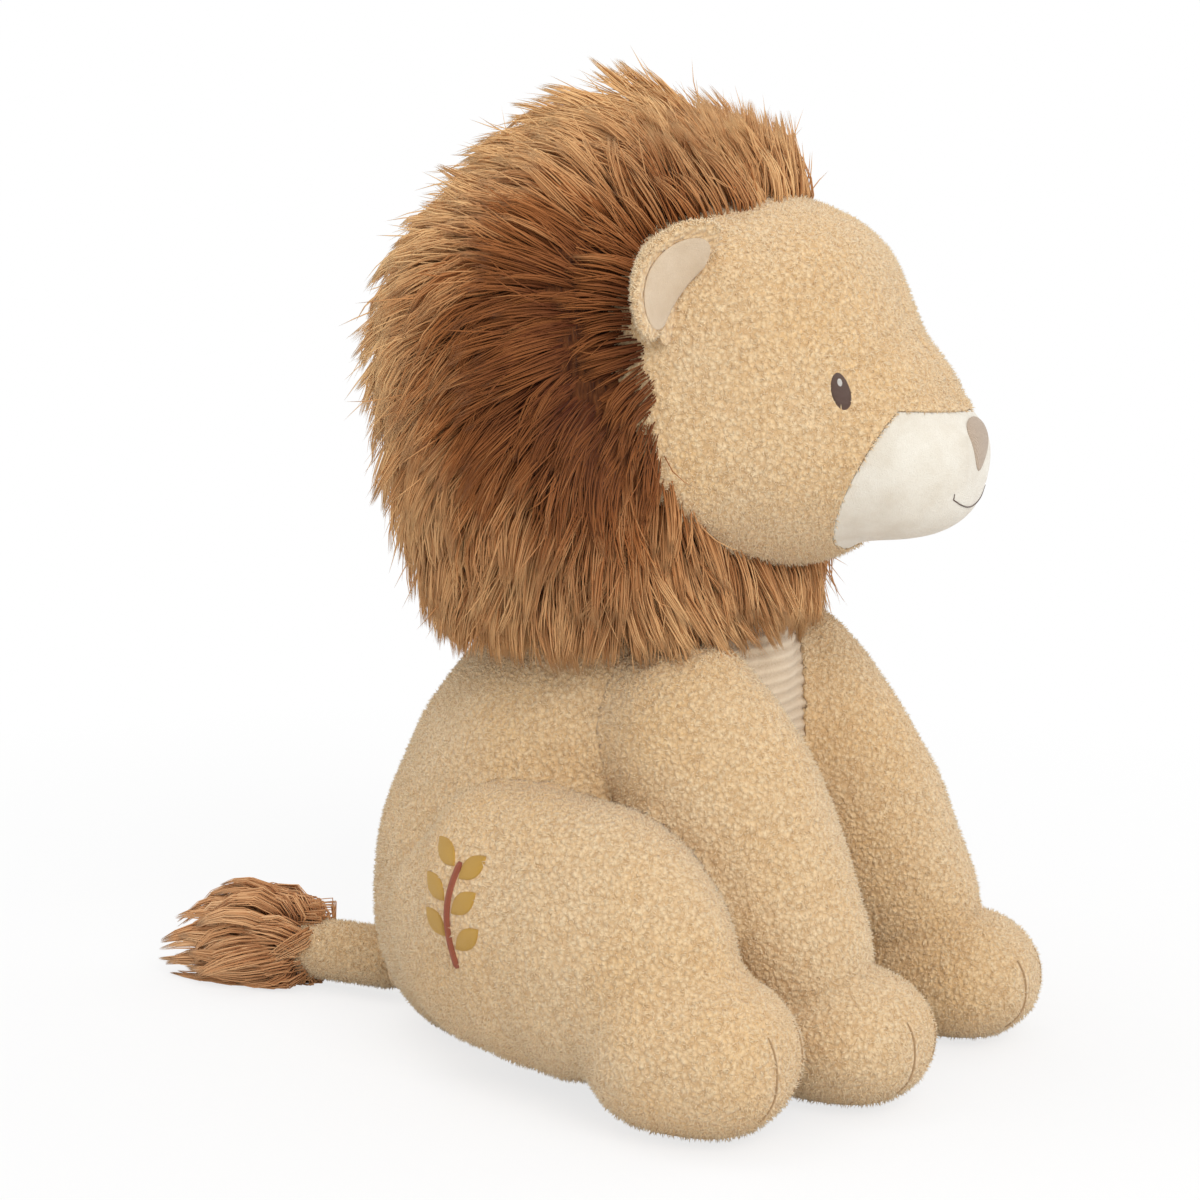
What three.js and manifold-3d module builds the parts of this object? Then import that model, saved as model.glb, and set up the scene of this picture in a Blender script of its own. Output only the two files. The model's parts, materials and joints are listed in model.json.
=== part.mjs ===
// Sitting plush lion: sewn skins over loose fibre filling, a fur mane round the head and a tufted tail.
// Millimetres, +Z up. The lion faces -Y and its right side is -X.
// The origin is the middle of the flat seat, on the surface that the lion sits on.

import * as THREE from 'three';
import { mergeVertices } from 'three/addons/utils/BufferGeometryUtils.js';
import Module from 'manifold-3d';

const wasm = await Module();
wasm.setup();

// Cloth and sewing
const skinThick = 4; // backing cloth with its short looped pile
const velourThick = 2.6; // smooth cloth of the muzzle
const corduroyThick = 3.4;
const seamGap = 0.35; // between two pieces that touch
const headFillGap = 1.5; // the head's filling clears the muzzle's cloth, which lies deeper than the skin
const stitchProud = 1.2; // embroidery above the cloth
const stitchWide = 1.6;
const soleThick = 5;
const flatDepth = 0.5; // how far a form is cut flat where it rests
const overrun = 20; // how far a cutter reaches past what it cuts
const roundSides = 32;
const poleShare = 1e-12; // nearness to an end of a form at which its rings close

// Torso, measured to the outside of the skin
const torso = { wide: 248, deep: 260, tall: 310, neckZ: 288 };
const torsoFullness = 6;
const torsoShares = [
  // back, up, wide, deep
  [-0.135, 0, 0.81, 0.78],
  [-0.127, 0.166, 0.96, 0.946],
  [-0.154, 0.333, 1, 1],
  [-0.219, 0.5, 0.944, 0.95],
  [-0.302, 0.667, 0.847, 0.83],
  [-0.377, 0.833, 0.718, 0.66],
  [-0.4, 1, 0.5, 0.44],
];
const neck = { y: -104, openRadius: 50, gussetRadius: 60, gussetThick: 5 };
const bagTop = 46; // bead bag in the seat

// Belly panel of ribbed cloth: half its outline in the front view, bottom to top
const belly = { wide: 208, low: 40, tall: 245 };
const bellyShares = [[0, 0], [0.6, 0.03], [1, 0.2], [0.96, 0.4], [0.72, 0.61], [0.56, 0.82], [0.46, 0.99], [0, 1]];

// Head: skull, and the snout that swells from its front
const skull = { wide: 238, deep: 262, low: 297, tall: 225, y: -119 };
const skullFullness = 2.5;
const skullShares = [
  [-0.03, 0, 0.86, 0.86],
  [-0.02, 0.25, 1.03, 1],
  [0, 0.5, 1, 1],
  [0.012, 0.75, 1, 1.03],
  [0.05, 1, 0.78, 0.84],
];
const snout = { wide: 168, tall: 144, rootY: -169, long: 128, rootZ: 385, drop: 20 };
const snoutFullness = 4;
const snoutShares = [
  // along, drop, wide, tall
  [0, 0, 1, 1],
  [0.25, 0.05, 1, 1],
  [0.5, 0.25, 0.88, 0.86],
  [0.75, 0.8, 0.71, 0.67],
  [1, 1, 0.55, 0.5],
];
const muzzle = { backY: -209, topBackY: -266, topZ: 402, lowZ: 300, frontTopZ: 399 };
const nose = { wide: 33, topZ: 399, tall: 33, thick: 3.4, proud: 1.4 };
const noseBulgeShare = 0.9;
const smile = { wide: 31, z: 346, sag: 9, thick: 1.5 };
const eye = { x: 63, z: 413, wide: 12.5, tall: 21 };
const glint = { wide: 3.4, tall: 5.2, up: 4.5, thick: 0.8 };

// Ears: a cupped flap on a short sewn root
const ear = { x: 103, y: -152, z: 464, wide: 78, tall: 44, thick: 10, cup: 17, nod: 5, rootTall: 8, rootWide: 58, sink: 14 };
const earMiddleShare = 0.3; // height of a flap's middle above its seam
const earLining = { wide: 62, tall: 35, thick: 2.4 };
const earAlongShares = [-0.578, 0.314, -0.754]; // direction of the right ear's seam
const earOutShares = [-0.8, 0.22, 0.56]; // direction in which the right ear stands out

// Mane
const mane = { wide: 334, deep: 312, low: 225, tall: 363, y: -74, hemZ: 258 };
const maneFullness = 3.2;
const maneShares = [
  // back, up, wide, deep
  [-0.05, 0, 0.87, 0.93],
  [-0.02, 0.2, 0.9, 0.92],
  [0, 0.4, 0.985, 0.99],
  [0.005, 0.6, 1, 1],
  [0.02, 0.8, 0.88, 0.9],
  [0.04, 1, 0.46, 0.5],
];
// Edge of the mane round the face in the side view: forward of its rearmost line, and up
const faceEdge = { y: -121, z: 285, tall: 262, deep: 120 };
const faceEdgeShares = [
  [1, 0],
  [0.72, 0.05],
  [0.44, 0.14],
  [0.29, 0.27],
  [0.2, 0.42],
  [0.05, 0.56],
  [0, 0.72],
  [0.1, 0.82],
  [0.36, 0.9],
  [0.5, 1],
];
// Hollow of the mane over the shoulders, a bell about the neck: outward and up
const maneBell = { radius: 128, low: 240, tall: 80 };
const maneBellShares = [[1, 0], [0.95, 0.27], [0.85, 0.5], [0.72, 0.72], [0.56, 1]];

// Front leg and paw, right side
const foreleg = { x: 76, y: -133, wide: 96, deep: 146, topZ: 262, reach: 111 };
const ankleShare = 0.61; // height of a front leg's lower end, of its paw's height
const forelegFullness = 5;
const forelegShares = [
  // inward, forward, down, wide, deep
  [0.02, 0.02, 0, 0.6, 0.62],
  [0, 0.13, 0.22, 0.92, 0.8],
  [-0.01, 0.37, 0.46, 1, 0.86],
  [-0.04, 0.62, 0.67, 0.98, 0.8],
  [-0.06, 0.82, 0.835, 0.92, 0.7],
  [-0.06, 1, 1, 0.84, 0.64],
];
// How far each front paw stands in and back from the mirrored place
const stance = { rightIn: 14, rightBack: 17, leftIn: 0, leftBack: 0 };
const paw = { x: 82, y: -255, wide: 96, long: 116, tall: 82 };
const pawFullness = 2.7;
const pawShares = [[0, 0.86, 0.8], [0.25, 0.95, 0.98], [0.5, 1, 1], [0.75, 1, 0.98], [1, 0.9, 0.84]];

// Hind leg and foot, right side
const thigh = { x: 118, y: 23, wide: 106, tall: 166, long: 222, spread: 42, midZ: 93 };
const thighFullness = 3;
const thighShares = [
  // outward, forward, up, wide, tall
  [0, 0, 0, 0.62, 0.66],
  [0.05, 0.2, 0, 0.86, 0.94],
  [0.2, 0.4, 0.03, 1, 1],
  [0.42, 0.6, 0.02, 1, 1],
  [0.72, 0.8, -0.05, 0.92, 0.92],
  [1, 1, -0.2, 0.84, 0.7],
];
const foot = { x: 158, y: -187, wide: 100, long: 122, tall: 96 };

// Toe stitches, two on each paw
const toe = { apart: 29, topShare: 0.66, lowShare: 0.2, backShare: 0.3 };

// Tail
const tail = { y: 89, z: 25, thick: 38, long: 84, gussetThick: 32, gussetLong: 60 };
const tailShares = [0, 0.5, 1];
const tuft = { wide: 70, tall: 58, long: 104, lap: 12, z: 31, drop: 9 };
const tuftShares = [[0, 0.7], [0.2, 0.98], [0.4, 1], [0.6, 0.82], [0.8, 0.55], [1, 0.3]];

// Leaf sprig worked on the right thigh
const sprig = { y: -45, z: 80, tall: 62, bow: 7, stemWide: 3.2, leafLong: 22, leafWide: 10, leafTilt: 50, pairs: 3 };
const stemShares = [0, 0.25, 0.5, 0.75, 1];
const leafRootShares = { first: 0.7, lead: 0.15 }; // of the spacing of the pairs
const leafSteps = 5; // straight pieces along each edge of a leaf

// Counts of flats round and along the forms
const flats = { torso: [28, 14], skull: [28, 14], snout: [18, 8], mane: [32, 14], limb: [16, 9], paw: [16, 8] };
const coarse = { torso: [14, 8], skull: [14, 7], snout: [10, 5], limb: [10, 6], paw: [10, 5] };

const clothPlain = { color: '#d0ac80', roughness: 0.95, metalness: 0 };
const clothIvory = { color: '#e6e0d4', roughness: 0.85, metalness: 0 };
const clothRibbed = { color: '#cdb79c', roughness: 0.9, metalness: 0 };
const clothTaupe = { color: '#b9a692', roughness: 0.8, metalness: 0 };
const furBrown = { color: '#8a5a35', roughness: 0.9, metalness: 0 };
const threadDark = { color: '#6b5348', roughness: 0.7, metalness: 0 };
const threadTan = { color: '#a98058', roughness: 0.8, metalness: 0 };
const threadWhite = { color: '#f4f2ee', roughness: 0.6, metalness: 0 };
const threadRust = { color: '#a8613f', roughness: 0.7, metalness: 0 };
const threadOchre = { color: '#d6a648', roughness: 0.7, metalness: 0 };
const fibreWhite = { color: '#efece6', roughness: 1, metalness: 0 };
const clothBag = { color: '#d9d4c8', roughness: 0.9, metalness: 0 };

const lion = new THREE.Group();
const rightSide = -1;
const leftSide = 1;
const unitX = new THREE.Vector3(1, 0, 0);

// Turns a geometry's faces outward if its volume comes out negative, and welds its corners.
function welded(geometry) {
  const bare = geometry.clone();
  bare.deleteAttribute('normal');
  bare.deleteAttribute('uv');
  const merged = mergeVertices(bare);
  const place = merged.attributes.position;
  const index = merged.index.array;
  const corners = [new THREE.Vector3(), new THREE.Vector3(), new THREE.Vector3()];
  let volume = 0;
  for (let i = 0; i < index.length; i += 3) {
    corners.forEach((corner, k) => corner.fromBufferAttribute(place, index[i + k]));
    volume += corners[0].dot(corners[1].clone().cross(corners[2]));
  }
  if (volume < 0) {
    for (let i = 0; i < index.length; i += 3) {
      [index[i + 1], index[i + 2]] = [index[i + 2], index[i + 1]];
    }
  }
  merged.computeVertexNormals();
  return merged;
}

function solidOf(geometry) {
  const merged = welded(geometry);
  const mesh = new wasm.Mesh({
    numProp: 3,
    vertProperties: Float32Array.from(merged.attributes.position.array),
    triVerts: Uint32Array.from(merged.index.array),
  });
  return new wasm.Manifold(mesh);
}

function geometryOf(solid) {
  const mesh = solid.getMesh();
  const geometry = new THREE.BufferGeometry();
  geometry.setAttribute('position', new THREE.BufferAttribute(Float32Array.from(mesh.vertProperties), 3));
  geometry.setIndex(new THREE.BufferAttribute(Uint32Array.from(mesh.triVerts), 1));
  geometry.computeVertexNormals();
  return geometry;
}

// The same form with its surface moved out, or in where the distance is negative.
function grown(geometry, distance) {
  const merged = welded(geometry);
  const place = merged.attributes.position;
  const normal = merged.attributes.normal;
  for (let i = 0; i < place.count; i += 1) {
    const x = place.getX(i) + normal.getX(i) * distance;
    const y = place.getY(i) + normal.getY(i) * distance;
    const z = place.getZ(i) + normal.getZ(i) * distance;
    place.setXYZ(i, x, y, z);
  }
  return merged;
}

function sewn(name, solid, finish, parent = lion) {
  const mesh = new THREE.Mesh(geometryOf(solid), new THREE.MeshStandardMaterial(finish));
  mesh.name = name;
  parent.add(mesh);
  return mesh;
}

// A stuffed form: rings laid along a spine, each with its own half width and half depth.
// A higher fullness makes the two ends blunter.
function stuffedForm(stations, [sides, rings], fullness) {
  const spine = new THREE.CatmullRomCurve3(stations.map((station) => station.at));
  const girth = new THREE.CatmullRomCurve3(stations.map((station) => new THREE.Vector3(...station.half, 0)));
  const form = new THREE.SphereGeometry(1, sides, rings);
  const place = form.attributes.position;
  for (let i = 0; i < place.count; i += 1) {
    const pole = THREE.MathUtils.clamp(place.getY(i), -1, 1);
    const turn = Math.atan2(place.getZ(i), place.getX(i));
    const along = (1 - pole) / 2;
    const swell = Math.abs(pole) > 1 - poleShare ? 0 : (1 - Math.abs(pole) ** fullness) ** (1 / fullness);
    const forward = spine.getTangent(along);
    const across = unitX.clone().addScaledVector(forward, -unitX.dot(forward)).normalize();
    const over = forward.clone().cross(across);
    const half = girth.getPoint(along);
    const point = spine.getPoint(along);
    point.addScaledVector(across, half.x * swell * Math.cos(turn));
    point.addScaledVector(over, half.y * swell * Math.sin(turn));
    place.setXYZ(i, point.x, point.y, point.z);
  }
  return form;
}

function torsoForm(count) {
  const stations = torsoShares.map(([back, up, wide, deep]) => ({
    at: new THREE.Vector3(0, back * torso.deep, up * torso.tall - flatDepth),
    half: [(wide * torso.wide) / 2, (deep * torso.deep) / 2],
  }));
  return stuffedForm(stations, count, torsoFullness);
}

function skullForm(count) {
  const stations = skullShares.map(([back, up, wide, deep]) => ({
    at: new THREE.Vector3(0, skull.y + back * skull.deep, skull.low + up * skull.tall),
    half: [(wide * skull.wide) / 2, (deep * skull.deep) / 2],
  }));
  return stuffedForm(stations, count, skullFullness);
}

function snoutForm(count) {
  const stations = snoutShares.map(([along, drop, wide, tall]) => ({
    at: new THREE.Vector3(0, snout.rootY - along * snout.long, snout.rootZ - drop * snout.drop),
    half: [(wide * snout.wide) / 2, (tall * snout.tall) / 2],
  }));
  return stuffedForm(stations, count, snoutFullness);
}

function maneForm(count) {
  const stations = maneShares.map(([back, up, wide, deep]) => ({
    at: new THREE.Vector3(0, mane.y + back * mane.deep, mane.low + up * mane.tall),
    half: [(wide * mane.wide) / 2, (deep * mane.deep) / 2],
  }));
  return stuffedForm(stations, count, maneFullness);
}

function stanceOf(side) {
  return side === rightSide ? [stance.rightIn, stance.rightBack] : [stance.leftIn, stance.leftBack];
}

function forelegForm(side, count) {
  const [inShift, backShift] = stanceOf(side);
  const tall = foreleg.topZ - ankleShare * paw.tall;
  const stations = forelegShares.map(([inward, forward, down, wide, deep]) => ({
    at: new THREE.Vector3(
      side * (foreleg.x - inward * foreleg.wide - down * inShift),
      foreleg.y - forward * (foreleg.reach - backShift),
      foreleg.topZ - down * tall,
    ),
    half: [(wide * foreleg.wide) / 2, (deep * foreleg.deep) / 2],
  }));
  return stuffedForm(stations, count, forelegFullness);
}

function pawForm(size, side, count) {
  const stations = pawShares.map(([along, wide, tall]) => ({
    at: new THREE.Vector3(side * size.x, size.y + (0.5 - along) * size.long, size.tall / 2 - flatDepth),
    half: [(wide * size.wide) / 2, (tall * size.tall) / 2],
  }));
  return stuffedForm(stations, count, pawFullness);
}

function thighForm(side, count) {
  const stations = thighShares.map(([outward, forward, up, wide, tall]) => ({
    at: new THREE.Vector3(
      side * (thigh.x + outward * thigh.spread),
      thigh.y - forward * thigh.long,
      thigh.midZ + up * thigh.tall,
    ),
    half: [(wide * thigh.wide) / 2, (tall * thigh.tall) / 2],
  }));
  return stuffedForm(stations, count, thighFullness);
}

function tailForm(count) {
  const from = new THREE.Vector3(0, tail.y - tail.thick / 2, tail.z);
  const to = new THREE.Vector3(0, tail.y + tail.long, tail.z);
  const half = [tail.thick / 2, tail.thick / 2];
  const stations = tailShares.map((share) => ({ at: from.clone().lerp(to, share), half }));
  return stuffedForm(stations, count, forelegFullness);
}

function tuftForm(count) {
  const from = tail.y + tail.long - tuft.lap;
  const stations = tuftShares.map(([along, thick]) => ({
    at: new THREE.Vector3(0, from + along * tuft.long, tuft.z - along * tuft.drop),
    half: [(thick * tuft.wide) / 2, (thick * tuft.tall) / 2],
  }));
  return stuffedForm(stations, count, maneFullness);
}

// Union of several forms, each grown by the same distance.
function joined(forms, distance = 0) {
  const solids = forms.map((form) => solidOf(distance === 0 ? form : grown(form, distance)));
  return solids.reduce((whole, solid) => whole.add(solid));
}

// A block of the given box, for cutting.
function blockBetween(low, high) {
  const size = high.clone().sub(low);
  const middle = low.clone().add(high).multiplyScalar(0.5);
  return solidOf(new THREE.BoxGeometry(size.x, size.y, size.z).translate(middle.x, middle.y, middle.z));
}

// Everything above a height, for cutting a sole or a seat flat.
function above(z) {
  const reach = torso.tall + mane.tall;
  return blockBetween(new THREE.Vector3(-reach, -reach, z), new THREE.Vector3(reach, reach, reach));
}

// An outline in the side view, (y, z), made a prism from one x to another.
function sidePrism(outline, from, to, segments = 3) {
  const prism = new THREE.ExtrudeGeometry(outline, { depth: to - from, bevelEnabled: false, curveSegments: segments });
  const turned = new THREE.Matrix4().makeBasis(
    new THREE.Vector3(0, 1, 0),
    new THREE.Vector3(0, 0, 1),
    new THREE.Vector3(1, 0, 0),
  );
  return solidOf(prism.applyMatrix4(turned).translate(from, 0, 0));
}

// An outline in the front view, (x, z) points, made a prism from one depth to another.
function frontPrism(shape, from, to, segments = 6) {
  const prism = new THREE.ExtrudeGeometry(shape, { depth: to - from, bevelEnabled: false, curveSegments: segments });
  const turned = new THREE.Matrix4().makeBasis(
    new THREE.Vector3(1, 0, 0),
    new THREE.Vector3(0, 0, 1),
    new THREE.Vector3(0, -1, 0),
  );
  return solidOf(prism.applyMatrix4(turned).translate(0, -from, 0));
}

// Oval rod along a direction, for eyes.
function ovalRod(centre, direction, wide, tall) {
  const oval = new THREE.Shape();
  oval.absellipse(0, 0, wide / 2, tall / 2, 0, Math.PI * 2);
  const rod = new THREE.ExtrudeGeometry(oval, { depth: overrun * 2, bevelEnabled: false, curveSegments: 7 });
  rod.translate(0, 0, -overrun);
  const turn = new THREE.Matrix4().lookAt(direction, new THREE.Vector3(), new THREE.Vector3(0, 0, 1));
  return solidOf(rod.applyMatrix4(turn).translate(centre.x, centre.y, centre.z));
}

const torsoOuter = torsoForm(flats.torso);
const torsoInner = torsoForm(coarse.torso);
const torsoClear = joined([torsoOuter], seamGap);
const headForms = [skullForm(flats.skull), snoutForm(flats.snout)];
const headCores = [skullForm(coarse.skull), snoutForm(coarse.snout)];
const headOuter = joined(headForms);
const headClear = joined(headForms, seamGap);
const floorUp = above(0);

// Torso skin, its belly panel, the bead bag and the filling
function bellyOutline(margin) {
  const half = belly.wide / 2 - margin;
  const tall = belly.tall - margin * 2;
  const low = belly.low + margin;
  const right = bellyShares.map(([out, up]) => new THREE.Vector2(out * half, low + up * tall));
  const left = bellyShares.slice(1, -1).reverse().map(([out, up]) => new THREE.Vector2(-out * half, low + up * tall));
  const outline = new THREE.Shape();
  outline.moveTo(right[0].x, right[0].y);
  outline.splineThru([...right.slice(1), ...left, right[0]]);
  return outline;
}

const torsoCore = joined([torsoInner], -skinThick);
const underNeck = blockBetween(
  new THREE.Vector3(-torso.wide, -torso.deep, -overrun),
  new THREE.Vector3(torso.wide, torso.deep, torso.neckZ),
);
const bellyHole = frontPrism(bellyOutline(0), neck.y * -1, torso.deep, 3);
const bellyFill = frontPrism(bellyOutline(seamGap), neck.y * -1 + seamGap, torso.deep, 3);
const torsoShell = joined([torsoOuter]).intersect(floorUp).intersect(underNeck).subtract(torsoCore);
const corduroyInner = joined([torsoInner], -skinThick + (skinThick - corduroyThick) / 2);

sewn('torso_skin', torsoShell.subtract(bellyHole), clothPlain);
sewn('belly_panel', torsoShell.intersect(bellyFill).subtract(corduroyInner), clothRibbed);

const fillSpace = joined([torsoInner], -skinThick - seamGap);
const neckFloor = torso.neckZ - skinThick;
const bagBlock = blockBetween(
  new THREE.Vector3(-torso.wide, -torso.deep, -overrun),
  new THREE.Vector3(torso.wide, torso.deep, bagTop),
);
const fillBlock = blockBetween(
  new THREE.Vector3(-torso.wide, -torso.deep, bagTop + seamGap),
  new THREE.Vector3(torso.wide, torso.deep, neckFloor),
);
sewn('seat_bead_bag', fillSpace.intersect(bagBlock), clothBag);
sewn('torso_filling', fillSpace.intersect(fillBlock), fibreWhite);

// Neck gusset: the short band of cloth that bends when the head turns or nods
function neckRod(radius, from, to) {
  const rod = new THREE.CylinderGeometry(radius, radius, to - from, roundSides).rotateX(Math.PI / 2);
  return solidOf(rod.translate(0, neck.y, (from + to) / 2));
}
const neckBase = torso.neckZ + seamGap;
const neckTop = skull.low + neck.gussetRadius / 2;
const gussetBand = neckRod(neck.gussetRadius, neckBase, neckTop)
  .subtract(neckRod(neck.gussetRadius - neck.gussetThick, neckBase - overrun, neckTop + overrun));
sewn('neck_gusset', gussetBand.subtract(headClear), clothPlain);

// Head skin, muzzle, nose, mouth and eyes
function noseOutline(margin) {
  const half = nose.wide / 2 - margin;
  const top = nose.topZ - margin;
  const low = nose.topZ - nose.tall + margin;
  const bulge = half * noseBulgeShare;
  const outline = new THREE.Shape();
  outline.moveTo(-half, top);
  outline.quadraticCurveTo(0, top + nose.thick, half, top);
  outline.quadraticCurveTo(bulge, (top + low) / 2, 0, low);
  outline.quadraticCurveTo(-bulge, (top + low) / 2, -half, top);
  return outline;
}
const snoutTip = -snout.rootY + snout.long;
const noseRod = frontPrism(noseOutline(0), snoutTip - snout.long / 3, snoutTip + overrun);
const noseFill = frontPrism(noseOutline(seamGap), snoutTip - snout.long / 3, snoutTip + overrun);

function muzzleBlock(margin) {
  const points = [
    [muzzle.backY - margin, muzzle.lowZ - overrun],
    [muzzle.backY - margin, muzzle.lowZ],
    [muzzle.topBackY - margin, muzzle.topZ - margin],
    [-snoutTip - overrun, muzzle.frontTopZ - margin],
    [-snoutTip - overrun, muzzle.lowZ - overrun],
  ];
  return sidePrism(new THREE.Shape(points.map((point) => new THREE.Vector2(...point))), -skull.wide, skull.wide);
}

const headCore = joined(headCores, -skinThick);
const headShell = headOuter.subtract(headCore);
const neckHole = neckRod(neck.openRadius, skull.low - overrun, skull.low + overrun);
const velourOuter = joined(headForms, -stitchProud);
const velourInner = joined(headForms, -stitchProud - velourThick);
const noseOuter = joined(headForms, nose.proud - stitchProud);
const noseInner = joined(headForms, nose.proud - stitchProud - nose.thick);

sewn('head_skin', headShell.subtract(neckHole).subtract(muzzleBlock(0)).subtract(noseRod), clothPlain);
const velour = velourOuter.subtract(velourInner).intersect(muzzleBlock(seamGap));
sewn('muzzle_panel', velour.subtract(noseRod), clothIvory);
sewn('nose', noseOuter.subtract(noseInner).intersect(noseFill), clothTaupe);
sewn('head_filling', joined(headCores, -skinThick - headFillGap), fibreWhite);

const smileOutline = new THREE.Shape();
smileOutline.moveTo(-smile.wide / 2, smile.z);
smileOutline.quadraticCurveTo(0, smile.z - smile.sag * 2, smile.wide / 2, smile.z);
smileOutline.lineTo(smile.wide / 2 - smile.thick, smile.z + smile.thick / 2);
const smileTop = new THREE.Vector2(smile.thick - smile.wide / 2, smile.z + smile.thick / 2);
smileOutline.quadraticCurveTo(0, smile.z + smile.thick - smile.sag * 2, smileTop.x, smileTop.y);
const smileRod = frontPrism(smileOutline, snoutTip - snout.long / 3, snoutTip + overrun);
const smileInner = joined(headForms, seamGap - stitchProud);
sewn('mouth_stitch', headOuter.subtract(smileInner).intersect(smileRod), threadDark);

const eyeOuter = joined(headForms, seamGap + stitchProud);
const glintOuter = joined(headForms, seamGap * 2 + stitchProud + glint.thick);
const glintInner = joined(headForms, seamGap * 2 + stitchProud);
const eyeDepth = (skull.deep / 2) * Math.sqrt(1 - (eye.x / (skull.wide / 2)) ** 2);
for (const [side, word] of [[rightSide, 'right'], [leftSide, 'left']]) {
  const centre = new THREE.Vector3(side * eye.x, skull.y - eyeDepth, eye.z);
  const facing = new THREE.Vector3((side * eye.x) / skull.wide ** 2, -eyeDepth / skull.deep ** 2, 0).normalize();
  const rod = ovalRod(centre, facing, eye.wide, eye.tall);
  sewn(`eye_${word}`, eyeOuter.subtract(headClear).intersect(rod), threadDark);
  const higher = centre.clone().add(new THREE.Vector3(0, 0, glint.up));
  const small = ovalRod(higher, facing, glint.wide, glint.tall);
  sewn(`eye_glint_${word}`, glintOuter.subtract(glintInner).intersect(small), threadWhite);
}

// Ears, worked out in a frame of their own: x along the seam, y out of the front face, z outward
const earAlong = new THREE.Vector3(...earAlongShares).normalize();
const earFront = new THREE.Vector3(...earOutShares).cross(earAlong).normalize();
const earOut = earAlong.clone().cross(earFront);
const earPlace = new THREE.Matrix4().makeBasis(earAlong, earFront, earOut).setPosition(-ear.x, ear.y, ear.z);

function cupped(geometry) {
  const place = geometry.attributes.position;
  for (let i = 0; i < place.count; i += 1) {
    const sideShare = (2 * place.getX(i)) / ear.wide;
    const topShare = (place.getZ(i) - ear.rootTall) / ear.tall;
    place.setY(i, place.getY(i) + ear.cup * sideShare ** 2 + ear.nod * topShare * Math.abs(topShare));
  }
  return geometry;
}

function placedEar(geometry, side) {
  const placed = welded(geometry).applyMatrix4(earPlace);
  if (side === leftSide) placed.applyMatrix4(new THREE.Matrix4().makeScale(-1, 1, 1));
  return placed;
}

const earMiddle = ear.rootTall + ear.tall * earMiddleShare;
const flapDisc = new THREE.SphereGeometry(1, 18, 8).scale(ear.wide / 2, ear.thick / 2, ear.tall / 2);
const earFlap = cupped(flapDisc.translate(0, 0, earMiddle));
const liningDisc = new THREE.SphereGeometry(1, 14, 8).scale(earLining.wide / 2, ear.thick, earLining.tall / 2);
const earPatch = cupped(liningDisc.translate(0, ear.thick, earMiddle));
const rootBlock = new THREE.BoxGeometry(ear.rootWide, ear.thick - skinThick, ear.rootTall + ear.sink, 10, 1, 1);
const earRoot = cupped(rootBlock.translate(0, 0, (ear.rootTall - ear.sink) / 2));
const aboveRoot = new THREE.BoxGeometry(ear.wide * 2, ear.wide, ear.wide)
  .translate(0, 0, ear.rootTall + seamGap + ear.wide / 2);

const earsClear = [];
for (const [side, word] of [[rightSide, 'right'], [leftSide, 'left']]) {
  const flap = solidOf(placedEar(earFlap, side)).intersect(solidOf(placedEar(aboveRoot, side)));
  const flapClear = solidOf(placedEar(grown(earFlap, seamGap), side));
  const liningOuter = solidOf(placedEar(grown(earFlap, seamGap + earLining.thick), side));
  const patch = solidOf(placedEar(earPatch, side));
  const reach = solidOf(placedEar(aboveRoot, side));
  sewn(`ear_${word}_root`, solidOf(placedEar(earRoot, side)).subtract(headClear), clothPlain);
  sewn(`ear_${word}_back`, flap.subtract(headClear), clothPlain);
  const lining = liningOuter.subtract(flapClear).intersect(patch).intersect(reach).subtract(headClear);
  sewn(`ear_${word}_lining`, lining, clothIvory);
  earsClear.push(solidOf(placedEar(grown(earFlap, ear.thick / 2), side)));
}

// Mane: one hood of long pile round the head, open at the face and hollow under its hem
const faceOutline = new THREE.Shape();
const facePoints = faceEdgeShares.map(
  ([out, up]) => new THREE.Vector2(faceEdge.y - out * faceEdge.deep, faceEdge.z + up * faceEdge.tall),
);
faceOutline.moveTo(-mane.deep, faceEdge.z);
faceOutline.lineTo(facePoints[0].x, facePoints[0].y);
faceOutline.splineThru(facePoints.slice(1));
faceOutline.lineTo(-mane.deep, faceEdge.z + faceEdge.tall);
const bellPoints = maneBellShares.map(
  ([out, up]) => new THREE.Vector2(out * maneBell.radius, maneBell.low + up * maneBell.tall),
);
const bellProfile = [new THREE.Vector2(0, maneBell.low), ...bellPoints, new THREE.Vector2(0, maneBell.low + maneBell.tall)];
const bell = new THREE.LatheGeometry(bellProfile, roundSides).rotateX(Math.PI / 2).translate(0, neck.y, 0);
const hem = above(mane.hemZ);
let hood = joined([maneForm(flats.mane)]).intersect(hem).subtract(sidePrism(faceOutline, -mane.wide, mane.wide, 2));
hood = hood.subtract(headClear).subtract(solidOf(bell));
for (const clear of earsClear) hood = hood.subtract(clear);
sewn('mane', hood, furBrown);

// Legs: a swelling limb and its paw in one skin, open at the body seam and at the sole
const soleCut = above(soleThick + seamGap);
const fillCut = above(soleThick + seamGap * 2);
const soleBlock = blockBetween(
  new THREE.Vector3(-mane.wide, -mane.wide, 0),
  new THREE.Vector3(mane.wide, mane.wide, soleThick),
);
const torsoClearer = joined([torsoOuter], seamGap * 2);

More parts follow.
